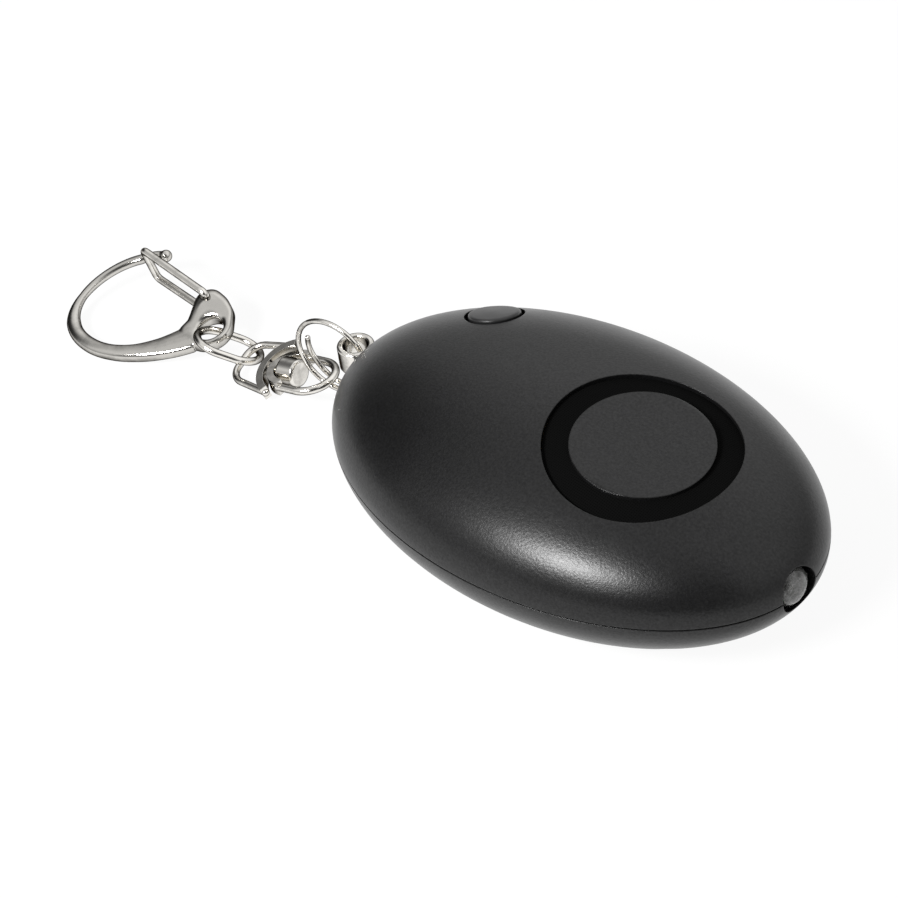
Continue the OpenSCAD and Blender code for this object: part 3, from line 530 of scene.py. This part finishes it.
class AlarmColours(bpy.types.PropertyGroup):
    """Colours of the finishes."""

    case: bpy.props.FloatVectorProperty(
        name="Case", description="Black of the two shells", subtype="COLOR", size=3,
        default=(0.006, 0.006, 0.0062), min=0, max=1)
    button: bpy.props.FloatVectorProperty(
        name="Button", description="Black of the push button", subtype="COLOR", size=3,
        default=(0.013, 0.013, 0.0134), min=0, max=1)
    nickel: bpy.props.FloatVectorProperty(
        name="Nickel", description="Plated chain and pin", subtype="COLOR", size=3,
        default=(0.72, 0.70, 0.66), min=0, max=1)
    brass: bpy.props.FloatVectorProperty(
        name="Brass", description="Sounder plate and contacts", subtype="COLOR", size=3,
        default=(0.75, 0.55, 0.22), min=0, max=1)
    copper: bpy.props.FloatVectorProperty(
        name="Copper", description="Enamelled wire of the coil", subtype="COLOR", size=3,
        default=(0.6, 0.24, 0.1), min=0, max=1)
    board: bpy.props.FloatVectorProperty(
        name="Board", description="Solder mask of the circuit board", subtype="COLOR", size=3,
        default=(0.05, 0.22, 0.09), min=0, max=1)


class AlarmLight(bpy.types.PropertyGroup):
    """Levels of the studio."""

    key: bpy.props.FloatProperty(
        name="Key", description="Power of the soft light", default=3.0, min=0, unit="POWER")
    room: bpy.props.FloatProperty(
        name="Room", description="Brightness of the room on dull surfaces", default=0.42, min=0, max=1)
    floor_glow: bpy.props.FloatProperty(
        name="Floor glow", description="White that the floor shows before any light falls on it",
        default=0.93, min=0, max=1)


# Pieces


class ALARM_OT_case(bpy.types.Operator):
    """Grain on both shells, and a near-black gauze ring under the ring slot that stands in for the slot's
    shade
    """

    bl_idname = "alarm.case"
    bl_label = "Case"

    slot_inner = 8.08
    slot_outer = 11.05
    inner_drop = 0.5
    outer_drop = 0.55
    shade_gauze_thick = 0.25

    def execute(self, context):
        black = grained_black()
        dress("top_shell", black)
        dress("bottom_shell", black)
        rows = self.shade_gauze_rows(context.scene.alarm_sizes)
        # painted shade: a near-black gauze sheet just under the slot, so the slot reads as shade
        make("slot_shade_gauze", skin(rows, closed=True), "alarm_body", painted_shade_gauze(), sharp=40)
        return {"FINISHED"}

    def shade_gauze_rows(self, s):
        """A thin near-black ring under the slot, a sheet that paints the slot's shade: its top runs straight
        from a circle round the disc to a circle laid on the crown's ellipsoid, both lowered, and its
        underside lies one thickness below."""
        lean = s.outlet_lean
        axis = np.array([math.sin(lean), 0, math.cos(lean)])
        along = np.array([math.cos(lean), 0, -math.sin(lean)])
        centre = np.array([s.outlet_x, 0, s.outlet_z])
        t = np.linspace(0, 2 * np.pi, 120, endpoint=False)[:, None]
        spoke = np.cos(t) * along + np.sin(t) * np.array([0, 1.0, 0])
        inner = centre + self.slot_inner * spoke - self.inner_drop * axis
        outer = centre + self.slot_outer * spoke
        share = 1 - (outer[:, 0] / (s.case_length / 2)) ** 2 - (outer[:, 1] / (s.case_width / 2)) ** 2
        outer[:, 2] = SEAM + s.crown * np.sqrt(share) - self.outer_drop
        blend = np.linspace(0, 1, 7)[None, :, None]
        top = inner[:, None] * (1 - blend) + outer[:, None] * blend
        return np.concatenate([top, (top - self.shade_gauze_thick * axis)[:, ::-1]], axis=1)


class ALARM_OT_button(bpy.types.Operator):
    """Push button with a domed cap, rounded rim, hidden flange and stem"""

    bl_idname = "alarm.button"
    bl_label = "Button"

    face_rings = 12
    pole_r = 0.05
    flange_r = 4.25
    flange_top = -2.1
    flange_foot = -3.0
    stem_root = 1.45
    stem_r = 1.4
    stem_top = -2.9

    def execute(self, context):
        rows = self.button_rows(context.scene.alarm_sizes)
        satin = satin_black()
        make("push_button", skin(rows), "torch_button", satin, ["torch_button"], sharp=50)
        grey = surface("switch_grey", (0.3, 0.3, 0.31), tint=1.1, spots=1.0, rough=(0.4, 0.5))
        dress("switch_plunger", grey)
        return {"FINISHED"}

    def button_rows(self, s):
        """Rings on the crown from the face's middle over a quarter-round rim, down to the flange,
        then in to the stem, whose last ring lies level on the switch."""
        centre = (BUTTON_LOW + BUTTON_HIGH)[:2] / 2
        turn = np.radians(np.linspace(0, 90, 9))[1:]
        r, e = s.button_r, s.button_edge
        reach = np.concatenate([
            np.linspace(self.pole_r, r - e, self.face_rings), r - e + e * np.sin(turn),
            [r, self.flange_r, self.flange_r, self.stem_root],
        ])
        lift = np.concatenate([
            np.full(self.face_rings, s.button_rise), s.button_rise - e + e * np.cos(turn),
            [self.flange_top, self.flange_top, self.flange_foot, self.flange_foot],
        ])
        rows = self.on_crown(s, centre, reach, lift)
        stem = self.on_crown(s, centre, np.full(2, self.stem_r), np.full(2, self.stem_top))
        stem[1, :, 2] = BUTTON_FOOT
        return np.concatenate([rows, stem])

    @staticmethod
    def on_crown(s, centre, reach, lift, around=72):
        """Rings about the button's axis, each set on the crown's ellipsoid grown by its lift: the
        height is the grown rise times the root of one less the squared shares of length and width."""
        t = np.linspace(0, 2 * np.pi, around, endpoint=False)
        x = centre[0] + reach[:, None] * np.cos(t)
        y = centre[1] + reach[:, None] * np.sin(t)
        lift = lift[:, None]
        share = 1 - (x / (s.case_length / 2 + lift)) ** 2 - (y / (s.case_width / 2 + lift)) ** 2
        z = SEAM + (s.crown + lift) * np.sqrt(share)
        return np.stack([x, y, z], -1)


class ALARM_OT_lamp(bpy.types.Operator):
    """Clear torch lamp with its lead frame, cup and die"""

    bl_idname = "alarm.lamp"
    bl_label = "Torch lamp"

    ahead = np.array([1.0, 0, 0])
    barrel_r = 2.5
    barrel_end = 6.6
    dome = 2.1
    fullness = 0.8
    flange = np.array([[2.7, 2.9, 2.9, 2.7, barrel_r], [0, 0.1, 0.9, 1.0, 1.1]])
    cup = np.array([[0.9, 1.0, 1.0, 0.85, 0.45, 0.4], [3.0, 3.4, 4.4, 4.4, 3.75, 3.75]])
    die = np.array([[0.42, 0.42, 0.3, 0.1], [3.7, 4.0, 4.15, 4.2]])
    cup_aside = np.array([0, -0.25, 0])
    lead_start = 0.15
    stand = (-1.0, 3.1)
    post = (1.27, 4.0)
    lead_half = (0.55, 0.22)
    lead_power = 6.0

    def execute(self, context):
        base = np.array([LED_LOW[0], 0, SEAM])
        lens = self.lens_rows(base)
        make("lamp_lens", skin(lens), "alarm_body", clear_lens(), ["torch_led"])
        tinned = surface("tinned_wire", (0.72, 0.72, 0.7), tint=1.1, spots=0.8, rough=(0.2, 0.32), metal=1.0,
                         depth=0.01, strength=0.15)
        dress("led_leads", tinned)
        cup = revolve(*self.cup, base + self.cup_aside, self.ahead, 32)
        leads = [skin(self.strip(base, *lead)) for lead in (self.stand, self.post)]
        make("lamp_frame", merged(skin(cup), *leads), "alarm_body", tinned, sharp=45)
        die = revolve(*self.die, base + self.cup_aside, self.ahead, 24)
        phosphor = surface("phosphor", (0.75, 0.6, 0.12), tint=1.1, spots=0.2, rough=(0.5, 0.6))
        make("lamp_die", skin(die), "alarm_body", phosphor)
        return {"FINISHED"}

    def lens_rows(self, base):
        """Flange, barrel and a full dome turned about the lamp's axis: the dome's radius falls as a
        power of the cosine while it runs on as a power of the sine."""
        t = np.radians(np.linspace(0, 89, 24))
        radii = np.concatenate([self.flange[0], self.barrel_r * np.cos(t) ** self.fullness])
        along = np.concatenate([self.flange[1], self.barrel_end + self.dome * np.sin(t) ** self.fullness])
        return revolve(radii, along, base, self.ahead)

    def strip(self, base, y, stop):
        """A flat strip along the lamp: a small rectangle carried from the leads' start to a stop."""
        along = np.linspace(self.lead_start, stop, 4)
        path = base + np.stack([along, np.full(4, y), np.zeros(4)], -1)
        across = np.tile([0, 1.0, 0], (4, 1))
        return carry(path, across, [0, 0, 1.0], *self.lead_half, self.lead_power, 16)


class ALARM_OT_inside(bpy.types.Operator):
    """Finishes of the sounder, circuit, cells and screws inside the case"""

    bl_idname = "alarm.inside"
    bl_label = "Inside"

    def execute(self, context):
        c = context.scene.alarm_colours
        brass = surface("brass_sheet", c.brass, tint=1.12, spots=2.5, rough=(0.24, 0.36), metal=1.0,
                        grain=0.15, depth=0.01, edge=0.05, stretch=(1, 8, 8))
        ceramic = surface("white_ceramic", (0.8, 0.8, 0.77), tint=1.05, spots=3.0, rough=(0.4, 0.55))
        black = surface("chip_black", (0.03, 0.03, 0.03), tint=1.2, spots=0.8, rough=(0.5, 0.62), grain=0.12)
        ferrite = surface("ferrite", (0.06, 0.06, 0.065), tint=1.3, spots=0.6, rough=(0.55, 0.7), grain=0.15)
        tan = surface("chip_tan", (0.4, 0.33, 0.24), tint=1.15, spots=0.9, rough=(0.45, 0.6))
        steel = surface("cell_steel", (0.7, 0.7, 0.71), tint=1.06, spots=3.0, rough=(0.2, 0.3), metal=1.0,
                        depth=0.008, edge=0.1, stretch=(10, 1, 1))
        strip = surface("spring_strip", (0.7, 0.69, 0.66), tint=1.08, rough=(0.22, 0.34), metal=1.0,
                        depth=0.008, edge=0.05, stretch=(1, 1, 8))
        screw = surface("screw_steel", (0.6, 0.6, 0.6), tint=1.15, spots=0.8, rough=(0.28, 0.42), metal=1.0,
                        grain=0.25, depth=0.015, edge=0.08)
        finishes = (
            (brass, ("piezo_plate", "piezo_contacts", "pin_contact")),
            (ceramic, ("piezo_ceramic",)),
            (masked_board(), ("circuit_board",)),
            (black, ("driver_chip", "drive_transistor", "tact_switch", "pin_socket")),
            (ferrite, ("coil_core",)),
            (enamelled_wire(), ("coil_winding",)),
            (tan, ("board_parts",)),
            (steel, ("button_cell_1", "button_cell_2", "button_cell_3")),
            (strip, ("battery_plate", "battery_leaf")),
            (screw, ("case_screws",)),
        )
        for material, nodes in finishes:
            for node in nodes:
                dress(node, material)
        return {"FINISHED"}


class ALARM_OT_ring(bpy.types.Operator):
    """Pull pin's plating, and the split ring as one wire of lapping turns"""

    bl_idname = "alarm.ring"
    bl_label = "Pin and split ring"

    yaw = math.radians(9.2)
    lean = math.radians(24.2)
    seat = np.array([0.42, 0.38, 0])
    start, stop = 165, 690
    tuck_from, tuck_by, tuck_over = 25, 65, 90
    join_at, join_over = 330, 60

    def execute(self, context):
        nickel = bright_nickel()
        dress("pull_pin", nickel)
        rows = self.ring_rows(context.scene.alarm_sizes)
        make("key_ring", skin(rows), "split_ring", nickel, ["split_ring"])
        return {"FINISHED"}

    def ring_rows(self, s):
        """A round wire wound on a circle, its angle running from start to stop in degrees. The wire's
        free end is tucked in: the radius is less by the lap times the cosine of a swing that grows to
        a right angle, and the wire lies aside by the lap times its sine until it eases to the middle."""
        across = np.array([math.cos(self.yaw), math.sin(self.yaw), 0])
        axis = np.array([-math.sin(self.yaw), math.cos(self.yaw), 0])
        up = np.array([0, 0, 1.0])
        hang = math.cos(self.lean) * across + math.sin(self.lean) * up
        centre = pin_point("ring_swing") + self.seat - s.ring_r * hang
        degrees = np.linspace(self.start, self.stop, 260)
        tuck = np.clip((degrees - self.start) / self.tuck_over, 0, 1)
        swing = np.radians(self.tuck_from + self.tuck_by * tuck)
        radius = s.ring_r - s.ring_lap * np.cos(swing)
        side = s.ring_lap * np.sin(swing) * (1 - ease((degrees - self.join_at) / self.join_over))
        a = np.radians(degrees)[:, None]
        out = np.cos(a) * across + np.sin(a) * up
        path = centre + radius[:, None] * out + side[:, None] * axis
        path, thin = round_ends(path, s.ring_wire)
        heading = tangents(path)
        out = unit(np.cross(axis, heading))
        rise = np.cross(heading, out)
        return carry(path, out, rise, s.ring_wire * thin, s.ring_wire * thin, around=20)


class ALARM_OT_swivel(bpy.types.Operator):
    """Plating of the swivel's rivet, stirrup and loop, and of the oval link"""

    bl_idname = "alarm.swivel"
    bl_label = "Swivel and link"

    def execute(self, context):
        nickel = bright_nickel()
        for node in ("swivel_rivet", "swivel_stirrup", "swivel_loop", "oval_link"):
            dress(node, nickel)
        return {"FINISHED"}


class ALARM_OT_hook(bpy.types.Operator):
    """Snap hook: a cast bow that swells into a pierced head, and a sprung wire gate"""

    bl_idname = "alarm.hook"
    bl_label = "Snap hook"

    lobes = np.array([
        [-2.3, -1.6, 1.42], [-0.55, 0.1, 3.15], [-1.3, 1.4, 2.9], [-2.12, 2.28, 2.47], [-3.1, 3.05, 1.85],
    ])
    pivot_at = lobes[-1, :2]
    swell = 0.85
    swell_reach = 4.0
    head_power = 1.9
    head_boxing = 1.3
    head_rays = 96
    head_far = 9.0
    halvings = 30
    voxel = 0.075
    passes = 17
    gate_bar = np.array([-15.25, 4.1])
    gate_half = 2.7
    gate_near = 2.4
    gate_bend = 0.75
    gate_step = 0.15
    foot_sink = 0.45
    hole_r = 1.65
    hole_rim = 0.2
    knob_r = 0.8
    bow_power = 2.2
    bow = np.array([
        [[-14.3, 6.05], [-15.15, 6.0], [-16.15, 5.1], [-16.9, 4.05]],
        [[-16.9, 4.05], [-21.0, 0.05], [-21.3, -9.5], [-12.6, -9.38]],
        [[-12.6, -9.38], [-8.7, -9.32], [-4.4, -6.65], [-1.6, -2.15]],
    ])
    bow_w = np.array([
        [0, 0.7, 1, 1.25, 1.5, 1.62, 1.75, 2, 2.25, 2.5, 2.75, 3],
        [0.5, 0.52, 0.64, 0.58, 0.52, 0.7, 0.92, 1, 1, 1.12, 1.48, 2],
    ])
    bow_h = np.array([[0, 1, 1.5, 1.75, 2, 3], [0.5, 0.6, 0.55, 0.75, 0.84, 0.9]])

    def execute(self, context):
        s = context.scene.alarm_sizes
        self.centre = pin_point("hook_swing")
        self.normal = pin_axis("hook_swing")
        self.x = np.array([1.0, 0, 0])
        self.y = np.cross(self.normal, self.x)
        cast = cast_nickel()
        head = skin(self.head_rows(s), closed=True)
        body = merged(skin(self.bow_rows()), head, skin(self.knob_rows()))
        piece = make("snap_hook", body, "hook_body", cast, ["hook_body"])
        fuse(piece, self.voxel, self.passes)
        make("snap_gate", skin(self.gate_rows(s)), "hook_gate", bright_nickel(), ["hook_gate"])
        return {"FINISHED"}

    def lay(self, flat):
        """Points of the hook's plane set in space along its two directions."""
        return self.centre + flat[..., :1] * self.x + flat[..., 1:2] * self.y

    def bow_rows(self):
        """Three cubic curves end to end, each point the cubic blend of four controls; the section
        swells from the nose to the head and grows boxier along the last curve."""
        t = np.linspace(0, 1, 41)[None, :, None]
        c = self.bow[:, :, None]
        ends = (1 - t) ** 3 * c[:, 0] + t ** 3 * c[:, 3]
        curve = ends + 3 * t * (1 - t) ** 2 * c[:, 1] + 3 * t * t * (1 - t) * c[:, 2]
        flat = np.concatenate([curve[0], curve[1, 1:], curve[2, 1:]])
        u = np.linspace(0, 3, len(flat))
        half_w = np.interp(u, *self.bow_w)
        half_h = np.interp(u, *self.bow_h)
        path = self.lay(flat)
        across = np.cross(self.normal, tangents(path))
        return carry(path, across, self.normal, half_w, half_h, self.bow_power + ease(u - 2))

    def head_rows(self, s):
        """A ring about the eye: its section runs from the eye's radius to the outline, where a ray
        leaves the lobes of the head, and grows boxier where it is wide. Its rise then swells by an
        eased share that falls with the distance from the gate's pivot."""
        t = np.linspace(0, 2 * np.pi, self.head_rays, endpoint=False)
        ray = np.stack([np.cos(t), np.sin(t)], -1)
        low = np.full(self.head_rays, self.hole_r + self.hole_rim)
        high = np.full(self.head_rays, self.head_far)
        for _ in range(self.halvings):
            middle = (low + high) / 2
            inside = self.outline(ray * middle[:, None]) < 0
            low, high = np.where(inside, middle, low), np.where(inside, high, middle)
        half = (low - self.hole_r) / 2
        path = self.lay(ray * (self.hole_r + half)[:, None])
        across = unit(self.lay(ray) - self.centre)
        power = self.head_power + self.head_boxing * half
        rows = carry(path, across, self.normal, half, s.hook_half, power, 40)
        rise = (rows - self.centre) @ self.normal
        level = rows - rise[..., None] * self.normal
        far = np.linalg.norm(level - self.lay(self.pivot_at), axis=-1)
        return rows + (rise * self.swell * ease(1 - far / self.swell_reach))[..., None] * self.normal

    def outline(self, flat):
        """Signed distance to a run of lobes: each two neighbours are circles joined by their common
        tangents, and the least of these distances counts."""
        reach = []
        for (ax, ay, ar), (bx, by, br) in zip(self.lobes[:-1], self.lobes[1:]):
            span = math.hypot(bx - ax, by - ay)
            line = np.array([bx - ax, by - ay]) / span
            along = (flat - [ax, ay]) @ line
            aside = np.abs((flat - [ax, ay]) @ [-line[1], line[0]])
            slope = (ar - br) / span
            slant = math.sqrt(1 - slope * slope)
            share = slant * along - slope * aside
            tangent = slant * aside + slope * along - ar
            first = np.hypot(aside, along) - ar
            last = np.hypot(aside, along - span) - br
            after = np.where(share > slant * span, last, tangent)
            reach.append(np.where(share < 0, first, after))
        return np.min(reach, axis=0)

    def knob_rows(self):
        """The ball at the nose: half circles turned about the hook's normal."""
        t = np.radians(np.linspace(4, 176, 22))
        centre = self.lay(self.bow[0, 0])
        return revolve(self.knob_r * np.sin(t), self.knob_r * np.cos(t), centre, self.normal, 32)

    def gate_rows(self, s):
        """Wire from foot to leg to end bar to leg to foot, its corners rounded."""
        half, near = self.gate_half, self.gate_near
        ahead = unit(self.lay(self.gate_bar) - self.lay(self.pivot_at))
        foot = s.hook_half * (1 + self.swell) - self.foot_sink
        length = float(np.linalg.norm(self.gate_bar - self.pivot_at))
        corners = [[0, foot], [0, near], [length, half], [length, -half], [0, -near], [0, -foot]]
        flat = evenly(filleted(corners, self.gate_bend), self.gate_step)
        path = self.lay(self.pivot_at) + flat[:, :1] * ahead + flat[:, 1:] * self.normal
        path, thin = round_ends(path, s.gate_wire, rings=3)
        upright = np.cross(self.normal, ahead)
        across = np.cross(upright, tangents(path))
        return carry(path, across, upright, s.gate_wire * thin, s.gate_wire * thin, around=20)


class ALARM_OT_stage(bpy.types.Operator):
    """White floor, soft studio light and the camera"""

    bl_idname = "alarm.stage"
    bl_label = "Stage"

    key_from = (-96, 43)
    key_far = 0.5
    key_size = (0.19, 0.1)
    floor_half = 4.0
    shadow_tone = 0.08
    dull_tone = 0.8
    horizon_to_top = ((0.0, 0.6), (0.08, 0.48), (0.2, 0.46), (0.5, 0.74), (0.75, 0.8), (1.0, 0.73))
    # Patches of the room: azimuth and height, outer and inner half angle in degrees, gain
    dark_wall = (-173, 20, 37, 13, 0.06)
    dark_camera_side = (-60, 32, 52, 20, 0.07)
    bright_window = (112, 36, 38, 12, 1.4)
    bright_corner = (32, 54, 42, 10, 1.3)

    def execute(self, context):
        light = context.scene.alarm_light
        self.camera(context)
        self.floor(context, light)
        self.room(context, light)
        self.lamp(context, "key_light", light.key)
        context.scene.view_settings.view_transform = "Standard"
        return {"FINISHED"}

    @staticmethod
    def camera(context):
        """A long lens above the lamp end, set by its three axes."""
        right = Vector((0.715709, 0.688754, -0.115669))
        up = Vector((-0.38976, 0.531334, 0.752177))
        back = Vector((0.579524, -0.493257, 0.648729))
        place = Vector((228.6129, -212.4024, 281.319))
        data = bpy.data.cameras.new("camera")
        data.lens = 147.79
        data.sensor_width = 36
        data.clip_start = 0.01
        data.clip_end = 20
        camera = bpy.data.objects.new("camera", data)
        turn = Matrix((right, up, back)).transposed().to_4x4()
        turn.translation = place * MM
        camera.matrix_world = turn
        context.scene.collection.objects.link(camera)
        context.scene.camera = camera

    def floor(self, context, light):
        """A flat square under the base that glows white and keeps the object's shadow."""
        half = self.floor_half
        corners = [(-half, -half, 0), (half, -half, 0), (half, half, 0), (-half, half, 0)]
        mesh = bpy.data.meshes.new("floor")
        mesh.from_pydata(corners, [], [(0, 1, 2, 3)])
        floor = bpy.data.objects.new("floor", mesh)
        context.scene.collection.objects.link(floor)
        material = bpy.data.materials.new("floor_white")
        material.use_nodes = True
        tree = material.node_tree
        tree.nodes.clear()
        link = tree.links.new
        out = tree.nodes.new("ShaderNodeOutputMaterial")
        path = tree.nodes.new("ShaderNodeLightPath").outputs
        looked_at = combine(tree, "MAXIMUM", path["Is Camera Ray"], path["Is Glossy Ray"])
        looked_at = combine(tree, "MAXIMUM", looked_at, path["Is Transmission Ray"])
        glow = tree.nodes.new("ShaderNodeEmission")
        glow.inputs["Strength"].default_value = light.floor_glow
        thin = tree.nodes.new("ShaderNodeBsdfDiffuse")
        thin.inputs["Color"].default_value = (*[self.shadow_tone] * 3, 1)
        dull = tree.nodes.new("ShaderNodeBsdfDiffuse")
        dull.inputs["Color"].default_value = (*[self.dull_tone] * 3, 1)
        seen = tree.nodes.new("ShaderNodeAddShader")
        mix = tree.nodes.new("ShaderNodeMixShader")
        link(glow.outputs[0], seen.inputs[0])
        link(thin.outputs[0], seen.inputs[1])
        link(looked_at, mix.inputs["Fac"])
        link(dull.outputs[0], mix.inputs[1])
        link(seen.outputs[0], mix.inputs[2])
        link(mix.outputs[0], out.inputs["Surface"])
        mesh.materials.append(material)

    def room(self, context, light):
        """A room that is white to the eye and even on dull surfaces. In reflections its grey follows
        the height, times two dark and two bright patches, each a smooth step on the cosine between
        the direction and the patch's own middle."""
        world = bpy.data.worlds.new("room")
        context.scene.world = world
        world.use_nodes = True
        tree = world.node_tree
        tree.nodes.clear()
        link = tree.links.new
        out = tree.nodes.new("ShaderNodeOutputWorld")
        sky = tree.nodes.new("ShaderNodeBackground")
        plain = tree.nodes.new("ShaderNodeBackground")
        plain.inputs["Color"].default_value = (1, 1, 1, 1)
        plain.inputs["Strength"].default_value = light.room
        white = tree.nodes.new("ShaderNodeBackground")
        white.inputs["Color"].default_value = (1, 1, 1, 1)
        way = tree.nodes.new("ShaderNodeTexCoord").outputs["Generated"]
        split = tree.nodes.new("ShaderNodeSeparateXYZ")
        ramp = tree.nodes.new("ShaderNodeValToRGB")
        fill(ramp.color_ramp, [(position, [grey] * 3) for position, grey in self.horizon_to_top])
        link(way, split.inputs[0])
        link(split.outputs["Z"], ramp.inputs["Fac"])
        link(ramp.outputs["Color"], sky.inputs["Color"])
        gain = self.patch(tree, way, *self.dark_wall)
        for patch in (self.dark_camera_side, self.bright_window, self.bright_corner):
            gain = combine(tree, "MULTIPLY", gain, self.patch(tree, way, *patch))
        link(gain, sky.inputs["Strength"])
        path = tree.nodes.new("ShaderNodeLightPath").outputs
        mirrored = combine(tree, "MAXIMUM", path["Is Glossy Ray"], path["Is Transmission Ray"])
        first = tree.nodes.new("ShaderNodeMixShader")
        second = tree.nodes.new("ShaderNodeMixShader")
        link(mirrored, first.inputs["Fac"])
        link(plain.outputs[0], first.inputs[1])
        link(sky.outputs[0], first.inputs[2])
        link(path["Is Camera Ray"], second.inputs["Fac"])
        link(first.outputs[0], second.inputs[1])
        link(white.outputs[0], second.inputs[2])
        link(second.outputs[0], out.inputs["Surface"])

    @staticmethod
    def patch(tree, way, azimuth, height, wide, narrow, gain):
        """A factor that is the gain inside the narrow angle and one outside the wide angle."""
        near = tree.nodes.new("ShaderNodeVectorMath")
        near.operation = "DOT_PRODUCT"
        near.inputs[1].default_value = toward(azimuth, height)
        step = tree.nodes.new("ShaderNodeMapRange")
        step.interpolation_type = "SMOOTHSTEP"
        step.inputs["From Min"].default_value = math.cos(math.radians(wide))
        step.inputs["From Max"].default_value = math.cos(math.radians(narrow))
        step.inputs["To Min"].default_value = 1.0
        step.inputs["To Max"].default_value = gain
        tree.links.new(way, near.inputs[0])
        tree.links.new(near.outputs["Value"], step.inputs["Value"])
        return step.outputs["Result"]

    def lamp(self, context, name, power):
        """A soft light turned to the object from its azimuth and height."""
        place = toward(*self.key_from)
        data = bpy.data.lights.new(name, "AREA")
        data.shape = "RECTANGLE"
        data.size, data.size_y = self.key_size
        data.energy = power
        lamp = bpy.data.objects.new(name, data)
        aim = place.to_track_quat("Z", "Y").to_matrix().to_4x4()
        lamp.matrix_world = Matrix.Translation(place * self.key_far) @ aim
        context.scene.collection.objects.link(lamp)


class ALARM_PT_looks(bpy.types.Panel):
    """Steps and settings of the alarm's looks"""

    bl_label = "Alarm looks"
    bl_idname = "ALARM_PT_looks"
    bl_space_type = "VIEW_3D"
    bl_region_type = "UI"
    bl_category = "Alarm"

    def draw(self, context):
        for group in (context.scene.alarm_sizes, context.scene.alarm_colours, context.scene.alarm_light):
            box = self.layout.box()
            for key in group.__annotations__:
                box.prop(group, key)
        for step in STEPS:
            self.layout.operator(step.bl_idname)


STEPS = (
    ALARM_OT_case, ALARM_OT_button, ALARM_OT_lamp, ALARM_OT_inside, ALARM_OT_ring,
    ALARM_OT_swivel, ALARM_OT_hook, ALARM_OT_stage,
)
GROUPS = {"alarm_sizes": AlarmSizes, "alarm_colours": AlarmColours, "alarm_light": AlarmLight}


def register():
    for name, group in GROUPS.items():
        bpy.utils.register_class(group)
        setattr(bpy.types.Scene, name, bpy.props.PointerProperty(type=group))
    for step in (*STEPS, ALARM_PT_looks):
        bpy.utils.register_class(step)


def unregister():
    for step in (*STEPS, ALARM_PT_looks):
        bpy.utils.unregister_class(step)
    for name, group in GROUPS.items():
        delattr(bpy.types.Scene, name)
        bpy.utils.unregister_class(group)


def main():
    register()
    for step in STEPS:
        family, name = step.bl_idname.split(".")
        getattr(getattr(bpy.ops, family), name)()


if __name__ == "__main__":
    main()
